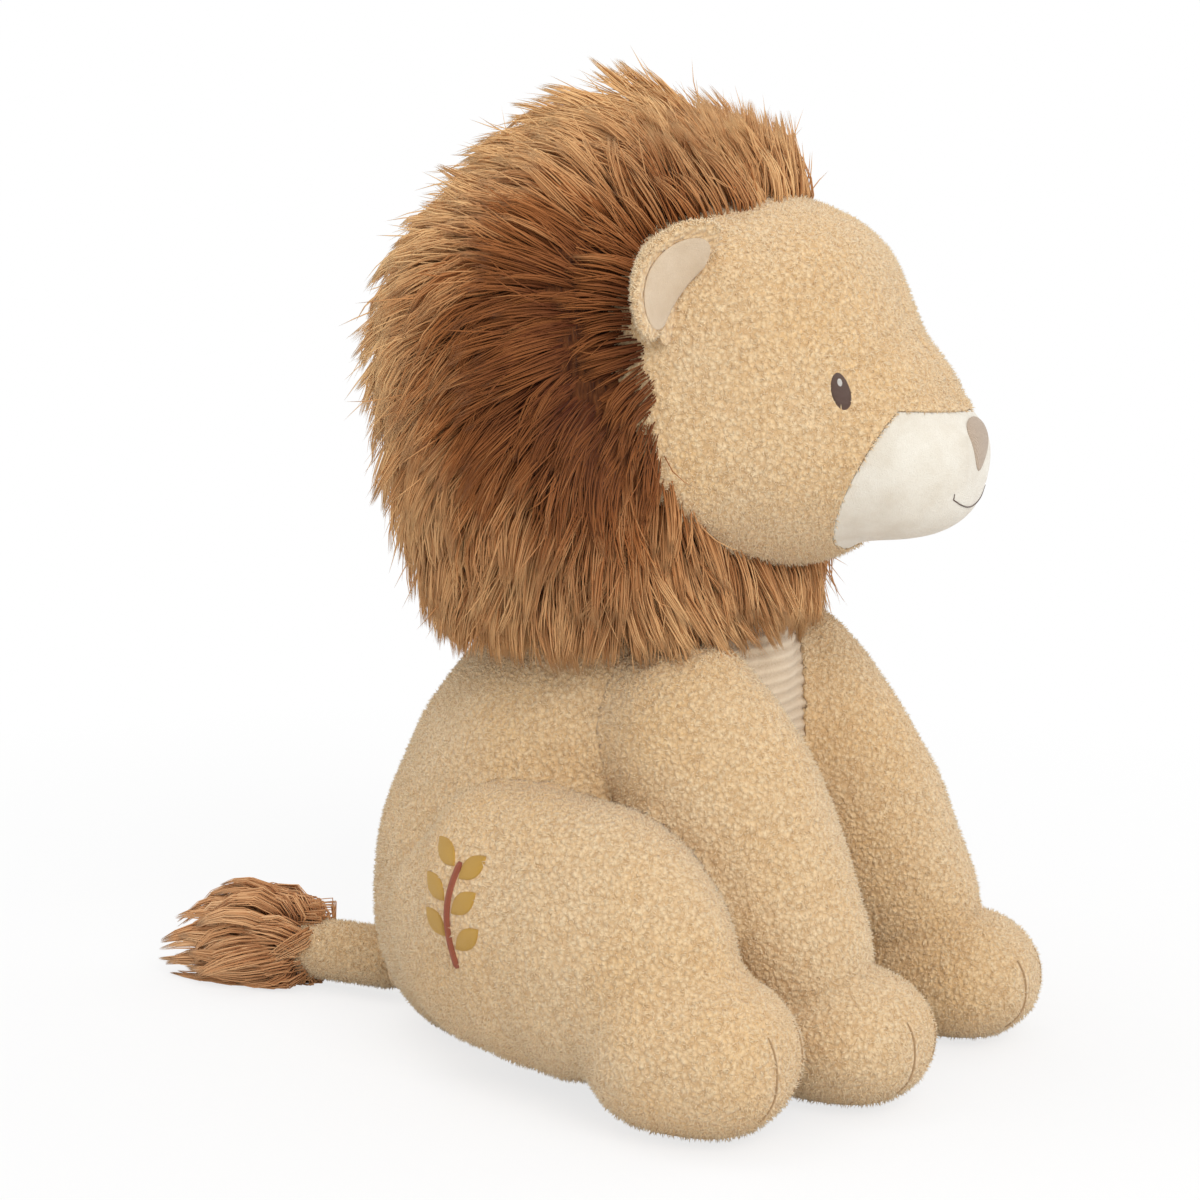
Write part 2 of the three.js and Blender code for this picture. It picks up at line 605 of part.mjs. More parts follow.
// What a leg presses against dents it: the dent goes through its skin and filling alike.
function legPieces(word, fine, cores, size, side, pressed) {
  const dented = (solid, distance) => (pressed.length === 0 ? solid : solid.subtract(joined(pressed, distance)));
  const outer = dented(joined(fine), seamGap);
  const core = dented(joined(cores, -skinThick), seamGap + skinThick);
  const stuffing = dented(joined(cores, -skinThick - seamGap), seamGap * 2 + skinThick);
  sewn(`${word}_skin`, outer.subtract(core).intersect(soleCut).subtract(torsoClear), clothPlain);
  sewn(`${word}_filling`, stuffing.intersect(fillCut).subtract(torsoClearer), fibreWhite);
  sewn(`${word}_sole`, outer.intersect(soleBlock), clothPlain);
  const clear = joined(fine, seamGap);
  const proud = joined(fine, seamGap + stitchProud);
  const front = size.y - size.long / 2;
  for (const across of [-1, 1]) {
    const x = side * size.x + (across * toe.apart) / 2;
    const slab = blockBetween(
      new THREE.Vector3(x - stitchWide / 2, front - overrun, size.tall * toe.lowShare),
      new THREE.Vector3(x + stitchWide / 2, front + size.long * toe.backShare, size.tall * toe.topShare),
    );
    const place = across * side < 0 ? 'inner' : 'outer';
    sewn(`${word}_toe_stitch_${place}`, proud.subtract(clear).intersect(slab), threadTan);
  }
}

for (const [side, word] of [[rightSide, 'right'], [leftSide, 'left']]) {
  const [inShift, backShift] = stanceOf(side);
  const frontPaw = { ...paw, x: paw.x - inShift, y: paw.y + backShift };
  const front = [forelegForm(side, flats.limb), pawForm(frontPaw, side, flats.paw)];
  const frontCores = [forelegForm(side, coarse.limb), pawForm(frontPaw, side, coarse.paw)];
  const hind = [thighForm(side, flats.limb), pawForm(foot, side, flats.paw)];
  const hindCores = [thighForm(side, coarse.limb), pawForm(foot, side, coarse.paw)];
  legPieces(`front_leg_${word}`, front, frontCores, frontPaw, side, []);
  legPieces(`hind_leg_${word}`, hind, hindCores, foot, side, front);
}

// Tail: gusset at the body seam, stuffed tube and fur tuft
const tailFine = tailForm(flats.paw);
const tailCore = tailForm(coarse.paw);
const tailStart = blockBetween(
  new THREE.Vector3(-tail.thick, tail.y + seamGap, -tail.thick),
  new THREE.Vector3(tail.thick, tail.y + tail.long * 2, tail.thick * 2),
);
const gussetRadius = tail.gussetThick / 2;
const gussetRod = new THREE.CylinderGeometry(gussetRadius, gussetRadius, tail.gussetLong, roundSides / 2);
const tailGusset = solidOf(gussetRod.translate(0, tail.y - tail.gussetLong / 2, tail.z));
sewn('tail_gusset', tailGusset.subtract(torsoClear), clothPlain);
sewn('tail_skin', joined([tailFine]).subtract(joined([tailCore], -skinThick)).intersect(tailStart), clothPlain);
sewn('tail_filling', joined([tailCore], -skinThick - seamGap).intersect(tailStart), fibreWhite);
sewn('tail_tuft', joined([tuftForm(flats.paw)]).subtract(joined([tailFine], seamGap)).intersect(floorUp), furBrown);

// Leaf sprig embroidered on the right thigh
const sprigOuter = joined([thighForm(rightSide, flats.limb)], seamGap + stitchProud);
const sprigInner = joined([thighForm(rightSide, flats.limb)], seamGap);
const sprigSkin = sprigOuter.subtract(sprigInner);
const sprigReach = [-thigh.x - thigh.wide, -thigh.x];

function stemPoint(share, offset = 0) {
  return new THREE.Vector2(sprig.y + sprig.bow * Math.sin(share * Math.PI) + offset, sprig.z + share * sprig.tall);
}
const stemOutline = new THREE.Shape();
stemOutline.setFromPoints([
  ...stemShares.map((share) => stemPoint(share, -sprig.stemWide / 2)),
  ...stemShares.map((share) => stemPoint(1 - share, sprig.stemWide / 2)),
]);
sewn('sprig_stem', sprigSkin.intersect(sidePrism(stemOutline, ...sprigReach)), threadRust);

for (let pair = 0; pair < sprig.pairs; pair += 1) {
  for (const [hand, word] of [[-1, 'front'], [1, 'back']]) {
    const share = (pair + leafRootShares.first + hand * leafRootShares.lead) / sprig.pairs;
    const root = stemPoint(Math.min(share, 1), hand * (sprig.stemWide / 2 + seamGap * 2));
    const tilt = THREE.MathUtils.degToRad(sprig.leafTilt);
    const along = new THREE.Vector2(hand * Math.sin(tilt), Math.cos(tilt));
    const across = new THREE.Vector2(-along.y, along.x).multiplyScalar(sprig.leafWide);
    const middle = root.clone().addScaledVector(along, sprig.leafLong / 2);
    const tip = root.clone().addScaledVector(along, sprig.leafLong);
    const leaf = new THREE.Shape();
    leaf.moveTo(root.x, root.y);
    leaf.quadraticCurveTo(middle.x + across.x, middle.y + across.y, tip.x, tip.y);
    leaf.quadraticCurveTo(middle.x - across.x, middle.y - across.y, root.x, root.y);
    const leafPrism = sidePrism(leaf, ...sprigReach, leafSteps);
    sewn(`sprig_leaf_${word}_${pair + 1}`, sprigSkin.intersect(leafPrism), threadOchre);
  }
}

export default lion;
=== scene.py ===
# Sitting plush lion: looped-pile body, ribbed belly, velour muzzle and a mane of long combed fur.
# Metres, +Z up. The lion faces -Y and its right side is -X.

import json
import math

import bmesh
import bpy
import numpy as np
from mathutils import Matrix, Vector
from mathutils.bvhtree import BVHTree
from mathutils.kdtree import KDTree
from mathutils import noise

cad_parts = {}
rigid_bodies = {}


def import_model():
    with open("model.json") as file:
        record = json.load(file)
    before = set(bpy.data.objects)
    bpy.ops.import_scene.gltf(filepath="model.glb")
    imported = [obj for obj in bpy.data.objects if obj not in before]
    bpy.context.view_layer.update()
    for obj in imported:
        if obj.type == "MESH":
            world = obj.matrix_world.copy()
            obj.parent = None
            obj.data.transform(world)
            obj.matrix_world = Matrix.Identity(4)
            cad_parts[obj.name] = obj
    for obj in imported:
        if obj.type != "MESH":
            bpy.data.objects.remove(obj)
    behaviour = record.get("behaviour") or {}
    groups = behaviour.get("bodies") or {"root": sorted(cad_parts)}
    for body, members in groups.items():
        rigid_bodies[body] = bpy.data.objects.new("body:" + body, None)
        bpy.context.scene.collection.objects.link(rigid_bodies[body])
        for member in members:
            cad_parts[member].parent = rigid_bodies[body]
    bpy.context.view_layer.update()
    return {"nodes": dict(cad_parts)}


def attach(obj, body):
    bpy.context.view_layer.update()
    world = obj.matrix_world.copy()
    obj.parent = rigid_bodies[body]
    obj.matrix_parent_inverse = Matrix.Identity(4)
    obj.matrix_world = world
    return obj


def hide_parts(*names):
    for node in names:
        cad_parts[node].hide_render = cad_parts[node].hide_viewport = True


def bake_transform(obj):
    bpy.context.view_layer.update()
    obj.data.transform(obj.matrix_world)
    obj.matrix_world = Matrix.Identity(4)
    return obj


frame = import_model()
mm = 0.001
right, left = -1, 1
sides = ((right, "right"), (left, "left"))


# Camera and studio

view = {"azimuth": -64, "elevation": 8.5, "distance": 1600, "target": (-102, -103, 290), "lens": 82.8}
studio = {"floor": 3.0, "floorTone": 0.86, "floorGlow": 0.75, "world": 0.79, "key": 26.5, "fill": 6.5, "top": 8.5}


def addCamera():
    a, e = math.radians(view["azimuth"]), math.radians(view["elevation"])
    away = Vector((math.sin(a) * math.cos(e), -math.cos(a) * math.cos(e), math.sin(e)))
    target = Vector(view["target"]) * mm
    data = bpy.data.cameras.new("camera")
    data.lens = view["lens"]
    data.sensor_width = 36
    camera = bpy.data.objects.new("camera", data)
    camera.location = target + away * view["distance"] * mm
    camera.rotation_euler = away.to_track_quat("Z", "Y").to_euler()
    bpy.context.scene.collection.objects.link(camera)
    bpy.context.scene.camera = camera
    bpy.context.scene.view_settings.view_transform = "Standard"


def addLamp(name, place, aim, size, power):
    data = bpy.data.lights.new(name, "AREA")
    data.shape = "DISK"
    data.size = size
    data.energy = power
    lamp = bpy.data.objects.new(name, data)
    lamp.location = place
    lamp.rotation_euler = (Vector(place) - Vector(aim)).to_track_quat("Z", "Y").to_euler()
    bpy.context.scene.collection.objects.link(lamp)


addCamera()
addLamp("keyLamp", (-1.5, -1.7, 1.7), (0, -0.05, 0.25), 1.5, studio["key"])
addLamp("fillLamp", (1.6, -1.4, 1.0), (0, -0.05, 0.25), 1.6, studio["fill"])
addLamp("topLamp", (-0.2, 0.7, 2.1), (0, -0.05, 0.3), 1.4, studio["top"])
print("camera and lamps placed")


# Shader maths

def srgb(red, green, blue):
    def linear(value):
        share = value / 255
        return share / 12.92 if share <= 0.04045 else ((share + 0.055) / 1.055) ** 2.4
    return (linear(red), linear(green), linear(blue), 1)


class Wire:
    # an output socket; sums and products of wires become Math nodes

    def __init__(self, finish, socket):
        self.finish = finish
        self.socket = socket

    def math(self, operation, first, second=0.0):
        return self.finish.node("ShaderNodeMath", {"operation": operation}, {0: first, 1: second})

    def __add__(self, other):
        return self.math("ADD", self, other)

    def __sub__(self, other):
        return self.math("SUBTRACT", self, other)

    def __rsub__(self, other):
        return self.math("SUBTRACT", other, self)

    def __mul__(self, other):
        return self.math("MULTIPLY", self, other)

    __radd__ = __add__
    __rmul__ = __mul__


class Finish:
    # one material and the nodes that feed its shader

    def __init__(self, name, roughness=0.9, sheen=0.0, specular=0.2):
        self.material = bpy.data.materials.new(name)
        self.material.use_nodes = True
        self.tree = self.material.node_tree
        self.shader = self.tree.nodes["Principled BSDF"]
        self.shader.inputs["Roughness"].default_value = roughness
        self.shader.inputs["Sheen Weight"].default_value = sheen
        self.shader.inputs["Sheen Roughness"].default_value = 0.5
        self.shader.inputs["Specular IOR Level"].default_value = specular

    def node(self, kind, settings=None, sockets=None, output=0):
        made = self.tree.nodes.new(kind)
        for key, value in (settings or {}).items():
            if key == "stops":
                for k, (place, colour) in enumerate(value):
                    stop = made.color_ramp.elements[k] if k < 2 else made.color_ramp.elements.new(place)
                    stop.position = place
                    stop.color = colour
            else:
                setattr(made, key, value)
        for key, value in (sockets or {}).items():
            self.feed(made.inputs[key], value)
        return Wire(self, made.outputs[output])

    def feed(self, socket, value):
        if isinstance(value, Wire):
            self.tree.links.new(value.socket, socket)
        else:
            socket.default_value = value

    def place(self):
        return self.node("ShaderNodeTexCoord", output=3)

    def attribute(self, name):
        return self.node("ShaderNodeAttribute", {"attribute_name": name}, output=2)

    def grain(self, scale, detail=2.0, roughness=0.5, vector=None):
        return self.node("ShaderNodeTexNoise", {}, {
            "Vector": vector or self.place(), "Scale": scale, "Detail": detail, "Roughness": roughness})

    def ramp(self, amount, low, high):
        return self.node("ShaderNodeMapRange", {"clamp": True}, {0: amount, 1: low, 2: high})

    def mix(self, amount, first, second, how="MIX"):
        return self.node("ShaderNodeMix", {"data_type": "RGBA", "blend_type": how},
                         {0: amount, 6: first, 7: second}, output=2)

    def bump(self, height, depth, strength=1.0):
        return self.node("ShaderNodeBump", {}, {"Height": height, "Distance": depth, "Strength": strength})

    def done(self, colour, normal=None, roughness=None):
        self.feed(self.shader.inputs["Base Color"], colour)
        if normal is not None:
            self.feed(self.shader.inputs["Normal"], normal)
        if roughness is not None:
            self.feed(self.shader.inputs["Roughness"], roughness)
        return self.material


# Short looped pile: pale curl tips, painted shade on the ground between them and at the roots of the fibres, and slow
# changes of tone
pileTones = {"pale": (252, 234, 200), "mid": (237, 207, 164), "deep": (201, 162, 116), "warm": (236, 198, 144)}


def pileMaterial(name, curls=False):
    finish = Finish(name, roughness=0.95, sheen=0.25, specular=0.1)
    slow = finish.grain(14, 3)
    fine = finish.grain(420, 3, 0.6)
    cells = finish.node("ShaderNodeTexVoronoi", {"feature": "F1"}, {"Vector": finish.place(), "Scale": 330.0})
    tone = finish.mix(finish.ramp(slow, 0.38, 0.66), srgb(*pileTones["mid"]), srgb(*pileTones["warm"]))
    tone = finish.mix(finish.ramp(fine, 0.35, 0.7) * 0.6, tone, srgb(*pileTones["pale"]))
    if curls:
        tip = finish.attribute("along")
        # shade here is each fibre's random tone
        shade = finish.attribute("tone")
        # painted shade: each fibre is mixed towards the deep tone at its root, down among the others
        tone = finish.mix((1 - tip) * 0.45, tone, srgb(*pileTones["deep"]))
        tone = finish.mix(shade * 0.55, tone, srgb(*pileTones["pale"]))
        return finish.done(tone)
    # painted shade: the deep tone darkens the low ground between the cells of curls
    tone = finish.mix(finish.ramp(cells, 0.2, 0.75) * 0.7, tone, srgb(*pileTones["deep"]))
    return finish.done(tone, finish.bump(fine - cells * 0.8, 0.0022))


def velourMaterial(name, light, shade, deep):
    finish = Finish(name, roughness=0.8, sheen=0.35, specular=0.15)
    nap = finish.grain(1400, 2)
    sheenSwirl = finish.grain(60, 3, 0.6)
    # painted sheen: the slow swirl mixes the lit and the shaded tone, as the nap catches the light
    tone = finish.mix(finish.ramp(sheenSwirl, 0.35, 0.68), srgb(*light), srgb(*shade))
    tone = finish.mix(finish.ramp(nap, 0.35, 0.7) * 0.25, tone, srgb(*deep))
    return finish.done(tone, finish.bump(nap * 0.6 + sheenSwirl * 0.8, 0.0009))


def ribMaterial():
    finish = Finish("ribbedCloth", roughness=0.92, sheen=0.3, specular=0.1)
    groove = finish.attribute("groove")
    nap = finish.grain(900, 2)
    slow = finish.grain(25, 2)
    tone = finish.mix(finish.ramp(slow, 0.35, 0.65), srgb(221, 200, 172), srgb(209, 186, 156))
    # painted shade: the grooves between the ribs are darkened
    tone = finish.mix(groove * 0.55, tone, srgb(168, 140, 108))
    tone = finish.mix(finish.ramp(nap, 0.4, 0.7) * 0.3, tone, srgb(236, 218, 192))
    return finish.done(tone, finish.bump(nap, 0.0008))


def noseMaterial():
    finish = Finish("noseCloth", roughness=0.75, sheen=0.2, specular=0.2)
    weave = finish.node("ShaderNodeTexWave", {"bands_direction": "DIAGONAL"}, {"Vector": finish.place(), "Scale": 320.0})
    nap = finish.grain(700, 2)
    tone = finish.mix(nap, srgb(196, 177, 157), srgb(168, 147, 128))
    return finish.done(tone, finish.bump(weave * 0.5 + nap, 0.0006))


def threadMaterial(name, colour, dark, across=(0, 0, 1)):
    # satin stitch: fine ridges of thread across the shape
    finish = Finish(name, roughness=0.55, sheen=0.15, specular=0.35)
    turned = finish.node("ShaderNodeVectorMath", {"operation": "DOT_PRODUCT"},
                         {0: finish.place(), 1: across}, output=1)
    wobble = finish.grain(180, 2)
    phase = turned * 9000 + wobble * 5
    ridge = finish.node("ShaderNodeMath", {"operation": "SINE"}, {0: phase}) * 0.5 + 0.5
    # painted shade: the valleys between the ridges take the dark tone, the ridge tops lean to the thread's colour
    tone = finish.mix(ridge * 0.6, srgb(*dark), srgb(*colour))
    return finish.done(tone, finish.bump(ridge, 0.0005))


def furMaterial(name, dark, mid, light):
    # each hair runs from a dark root to a lighter tip; the crown and the back are palest, painted light, and the hair
    # by the ear darkest, painted shade
    finish = Finish(name, roughness=0.66, sheen=0.04, specular=0.16)
    along = finish.attribute("along")
    shade = finish.attribute("tone")
    pale = finish.attribute("pale")
    # painted light and shade: pale is lowest by the ear, where the mane lies in shade, and highest on the crown; on
    # the tail it is random, and shade is each strand's random tone
    depth = along * 0.45 + pale * 0.9 + shade * 0.25
    tone = finish.mix(finish.ramp(depth, 0.1, 0.75), srgb(*dark), srgb(*mid))
    tone = finish.mix(finish.ramp(pale * 0.8 + shade * 0.4 + along * 0.3, 0.55, 1.25), tone, srgb(*light))
    return finish.done(tone)


def furShadeGroundMaterial():
    # painted shade: the dark ground under the hair stands for the shade deep inside the fur
    finish = Finish("furShadeGround", roughness=0.9, sheen=0.1, specular=0.1)
    streak = finish.node("ShaderNodeMapping", {}, {0: finish.place(), 3: (260.0, 260.0, 30.0)})
    lines = finish.grain(1.0, 4, 0.6, streak)
    tone = finish.mix(finish.ramp(lines, 0.35, 0.7), srgb(60, 28, 12), srgb(120, 72, 38))
    return finish.done(tone, finish.bump(lines, 0.004))


def plainMaterial(name, colour, other, scale, depth):
    finish = Finish(name, roughness=0.95, sheen=0.1, specular=0.1)
    lumps = finish.grain(scale, 4, 0.6)
    return finish.done(finish.mix(lumps, srgb(*colour), srgb(*other)), finish.bump(lumps, depth))


plushFinish = pileMaterial("loopedPile")
curlFinish = pileMaterial("loopedPileCurls", curls=True)
velourFinish = velourMaterial("ivoryVelour", (233, 227, 214), (222, 213, 197), (203, 192, 174))
# the ear lining is the ivory velour painted darker and warmer: painted shade in the hollow of the ear
liningShadedFinish = velourMaterial("liningVelourShaded", (214, 194, 168), (203, 181, 153), (182, 158, 128))
ribFinish = ribMaterial()
noseFinish = noseMaterial()
furFinish = furMaterial("maneFur", (86, 38, 15), (178, 112, 60), (240, 196, 140))
tuftFinish = furMaterial("tailFur", (160, 100, 62), (220, 166, 116), (244, 206, 160))
furShadeGround = furShadeGroundMaterial()
brownThread = threadMaterial("brownThread", (138, 108, 94), (84, 62, 54), (0.3, 0.2, 1))
whiteThread = threadMaterial("whiteThread", (250, 248, 244), (214, 208, 200))
tanThread = threadMaterial("tanThread", (222, 184, 138), (192, 152, 108))
rustThread = threadMaterial("rustThread", (204, 110, 74), (160, 82, 54), (0, 1, 0.6))
ochreThread = threadMaterial("ochreThread", (240, 192, 88), (206, 156, 62), (0, 1, -0.5))
fibreFinish = plainMaterial("looseFibre", (242, 239, 233), (224, 220, 212), 90, 0.004)
bagFinish = plainMaterial("bagCloth", (222, 217, 205), (200, 194, 180), 700, 0.0006)


def addFloor():
    bm = bmesh.new()
    bmesh.ops.create_grid(bm, x_segments=8, y_segments=8, size=studio["floor"] * 4)
    mesh = bpy.data.meshes.new("floor")
    bm.to_mesh(mesh)
    bm.free()
    floor = bpy.data.objects.new("floor", mesh)
    bpy.context.scene.collection.objects.link(floor)
    tone = studio["floorTone"]
    finish = Finish("floorPaper", roughness=0.9, specular=0.1)
    finish.done((tone, tone, tone, 1))
    glow = finish.node("ShaderNodeEmission", {}, {"Color": (1, 1, 1, 1), "Strength": 1.0})
    seen = finish.node("ShaderNodeLightPath")
    shader = Wire(finish, finish.shader.outputs[0])
    away = finish.node("ShaderNodeVectorMath", {"operation": "LENGTH"}, {0: finish.place()}, output=1)
    share = finish.ramp(away, 0.45, 1.1) * (1 - studio["floorGlow"]) + studio["floorGlow"]
    both = finish.node("ShaderNodeMixShader", {}, {0: seen * share, 1: shader, 2: glow})
    finish.feed(finish.tree.nodes["Material Output"].inputs["Surface"], both)
    mesh.materials.append(finish.material)


def addWorld():
    world = bpy.data.worlds.new("studio")
    bpy.context.scene.world = world
    world.use_nodes = True
    tree = world.node_tree
    soft = tree.nodes["Background"]
    soft.inputs["Color"].default_value = (1, 1, 1, 1)
    soft.inputs["Strength"].default_value = studio["world"]
    bright = tree.nodes.new("ShaderNodeBackground")
    bright.inputs["Color"].default_value = (1, 1, 1, 1)
    bright.inputs["Strength"].default_value = 1
    path = tree.nodes.new("ShaderNodeLightPath")
    mixed = tree.nodes.new("ShaderNodeMixShader")
    tree.links.new(path.outputs["Is Camera Ray"], mixed.inputs[0])
    tree.links.new(soft.outputs[0], mixed.inputs[1])
    tree.links.new(bright.outputs[0], mixed.inputs[2])
    tree.links.new(mixed.outputs[0], tree.nodes["World Output"].inputs["Surface"])


addFloor()
addWorld()
print("materials, floor and backdrop made")


# Small tools

def pieceFrom(name, bm, material=None):
    mesh = bpy.data.meshes.new(name)
    bm.to_mesh(mesh)
    bm.free()
    return pieceOf(name, mesh, material)


def pieceOf(name, mesh, material=None):
    mesh.name = name
    for polygon in mesh.polygons:
        polygon.use_smooth = True
    piece = bpy.data.objects.new(name, mesh)
    bpy.context.scene.collection.objects.link(piece)
    if material:
        mesh.materials.clear()
        mesh.materials.append(material)
    return piece


def settled(piece):
    # the modifiers' result becomes the piece's own mesh
    graph = bpy.context.evaluated_depsgraph_get()
    old = piece.data
    piece.data = bpy.data.meshes.new_from_object(piece.evaluated_get(graph))
    piece.modifiers.clear()
    bpy.data.meshes.remove(old)
    return piece


def discard(*pieces):
    for piece in pieces:
        mesh = piece.data
        bpy.data.objects.remove(piece)
        bpy.data.meshes.remove(mesh)


def formTree(name, forms):
    piece = formPiece(name, forms)
    tree = treeOf(piece)
    discard(piece)
    return tree


def remeshed(piece, voxel):
    step = piece.modifiers.new("even", "REMESH")
    step.mode = "VOXEL"
    step.voxel_size = voxel * mm
    return settled(piece)


def placesOf(mesh):
    co = np.zeros(len(mesh.vertices) * 3)
    mesh.vertices.foreach_get("co", co)
    return co.reshape(-1, 3)


def setPlaces(mesh, co):
    mesh.vertices.foreach_set("co", co.ravel())
    mesh.update()


def normalsOf(mesh):
    out = np.zeros(len(mesh.vertices) * 3)
    mesh.vertex_normals.foreach_get("vector", out)
    return out.reshape(-1, 3)


def facesOf(mesh):
    middle = np.zeros(len(mesh.polygons) * 3)
    normal = np.zeros(len(mesh.polygons) * 3)
    mesh.polygons.foreach_get("center", middle)
    mesh.polygons.foreach_get("normal", normal)
    return middle.reshape(-1, 3), normal.reshape(-1, 3)


def treeOf(piece):
    bm = bmesh.new()
    bm.from_mesh(piece.data)
    tree = BVHTree.FromBMesh(bm)
    bm.free()
    return tree


def distances(tree, points):
    return np.array([tree.find_nearest(Vector(p))[3] for p in points])


def smoothStep(low, high, value):
    share = np.clip((value - low) / (high - low), 0, 1)
    return share * share * (3 - 2 * share)


def unit(vectors):
    return vectors / np.maximum(np.linalg.norm(vectors, axis=-1, keepdims=True), 1e-9)


def writeAttribute(mesh, name, values, domain="POINT"):
    layer = mesh.attributes.new(name, "FLOAT", domain)
    layer.data.foreach_set("value", np.asarray(values, np.float32))


def splinePoint(points, share):
    # a centripetal spline through the points, as the sewn forms are laid out
    last = len(points) - 1
    at = min(max(share, 0), 1) * last
    k = min(int(at), last - 1)
    rest = at - k
    b, c = points[k], points[k + 1]
    a = points[k - 1] if k > 0 else b * 2 - c
    d = points[k + 2] if k + 2 <= last else c * 2 - b
    first, middle, third = [max((q - p).length_squared, 1e-16) ** 0.25 for p, q in ((a, b), (b, c), (c, d))]
    t1 = ((b - a) / first - (c - a) / (first + middle) + (c - b) / middle) * middle
    t2 = ((c - b) / middle - (d - b) / (middle + third) + (d - c) / third) * middle
    return b + t1 * rest + (b * -3 + c * 3 - t1 * 2 - t2) * rest ** 2 + (b * 2 - c * 2 + t1 + t2) * rest ** 3


def ringFrame(centres, girths, along):
    # where a ring lies on the spine, its two directions and its half sizes
    forward = (splinePoint(centres, along + 1e-4) - splinePoint(centres, along - 1e-4)).normalized()
    across = (Vector((1, 0, 0)) - forward * forward.x).normalized()
    return splinePoint(centres, along), across, forward.cross(across), splinePoint(girths, along)


def addForm(bm, stations, fullness, around=72, rings=56):
    # a stuffed form: rings laid along a spine, from a sphere whose poles are the two ends
    centres = [Vector(s[0]) for s in stations]
    girths = [Vector((s[1], s[2], 0)) for s in stations]
    made = bmesh.ops.create_uvsphere(bm, u_segments=around, v_segments=rings, radius=1)
    frames = {}
    for vert in made["verts"]:
        pole = min(max(round(vert.co.z, 6), -1), 1)
        if pole not in frames:
            frames[pole] = ringFrame(centres, girths, (1 - pole) / 2)
        point, across, over, half = frames[pole]
        turn = math.atan2(vert.co.y, vert.co.x)
        swell = max(1 - abs(pole) ** fullness, 0) ** (1 / fullness)
        reach = across * half.x * math.cos(turn) + over * half.y * math.sin(turn)
        vert.co = (point + reach * swell) * mm
    return made["verts"]


def formPiece(name, forms):
    bm = bmesh.new()
    for stations, fullness in forms:
        addForm(bm, stations, fullness)
    bmesh.ops.recalc_face_normals(bm, faces=bm.faces)
    return pieceFrom(name, bm)


# Strands: hairs and curls, swept as three-sided rods that taper to a point

def rodProfile():
    data = bpy.data.curves.new("rodProfile", "CURVE")
    loop = data.splines.new("POLY")
    loop.points.add(2)
    for k in range(3):
        turn = math.tau * k / 3
        loop.points[k].co = (math.cos(turn), math.sin(turn), 0, 1)
    loop.use_cyclic_u = True
    profile = bpy.data.objects.new("rodProfile", data)
    bpy.context.scene.collection.objects.link(profile)
    return profile


strandProfile = rodProfile()


def strandPiece(name, paths, radii, material, **tones):
    # paths is strands by points by 3, radii strands by points; tones holds a value for each strand
    count, steps = radii.shape
    data = bpy.data.curves.new(name, "CURVE")
    data.dimensions = "3D"
    data.bevel_mode = "OBJECT"
    data.bevel_object = strandProfile
    places = np.ones((count, steps, 4))
    places[:, :, :3] = paths
    for place, radius in zip(places, radii):
        spline = data.splines.new("POLY")
        spline.points.add(steps - 1)
        spline.points.foreach_set("co", place.ravel())
        spline.points.foreach_set("radius", radius)
    swept = bpy.data.objects.new(name, data)
    bpy.context.scene.collection.objects.link(swept)
    mesh = bpy.data.meshes.new_from_object(swept.evaluated_get(bpy.context.evaluated_depsgraph_get()))
    bpy.data.objects.remove(swept)
    bpy.data.curves.remove(data)
    writeAttribute(mesh, "along", np.tile(np.repeat(np.linspace(0, 1, steps), 3), count))
    for tone, values in tones.items():
        writeAttribute(mesh, tone, np.repeat(values, steps * 3))
    bm = bmesh.new()
    bm.from_mesh(mesh)
    tips = [v for v in bm.verts if v.index % (steps * 3) >= (steps - 1) * 3]
    bmesh.ops.remove_doubles(bm, verts=tips, dist=1e-6)
    bmesh.ops.edgeloop_fill(bm, edges=[e for e in bm.edges if e.is_boundary])
    bm.to_mesh(mesh)
    bm.free()
    return pieceOf(name, mesh, material)


pile = {"length": 3.6, "radius": 0.62, "lean": 0.75, "drop": 0.3, "scatter": 1.9, "each": 2}


def sowPile(name, ground, keep, body, seed, scale=1.0):
    # short leaning fibres of yarn from each face of the cloth that shows
    rng = np.random.default_rng(seed)
    middle, normal = facesOf(ground.data)
    middle, normal = [np.repeat(rows[keep], pile["each"], axis=0) for rows in (middle, normal)]
    count = len(middle)
    side = unit(np.cross(normal, rng.normal(size=(count, 3))))
    other = np.cross(normal, side)
    lie = unit(side + np.array([0, 0, -pile["drop"]])) * pile["lean"] * rng.uniform(0.5, 1.5, (count, 1))
    length = pile["length"] * mm * scale * rng.uniform(0.7, 1.25, (count, 1))
    scatter = rng.uniform(-pile["scatter"], pile["scatter"], (2, count, 1)) * mm
    root = middle + side * scatter[0] + other * scatter[1] - normal * 0.9 * mm
    tip = root + unit(normal + lie) * length
    thick = pile["radius"] * mm * rng.uniform(0.75, 1.25, count)
    piece = strandPiece(name, np.stack([root, tip], axis=1), np.stack([thick, thick * 0], axis=1), curlFinish,
                        tone=rng.random(count))
    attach(piece, body)
    return piece


# Body and legs: one inflated shape, divided along the seams into its pieces

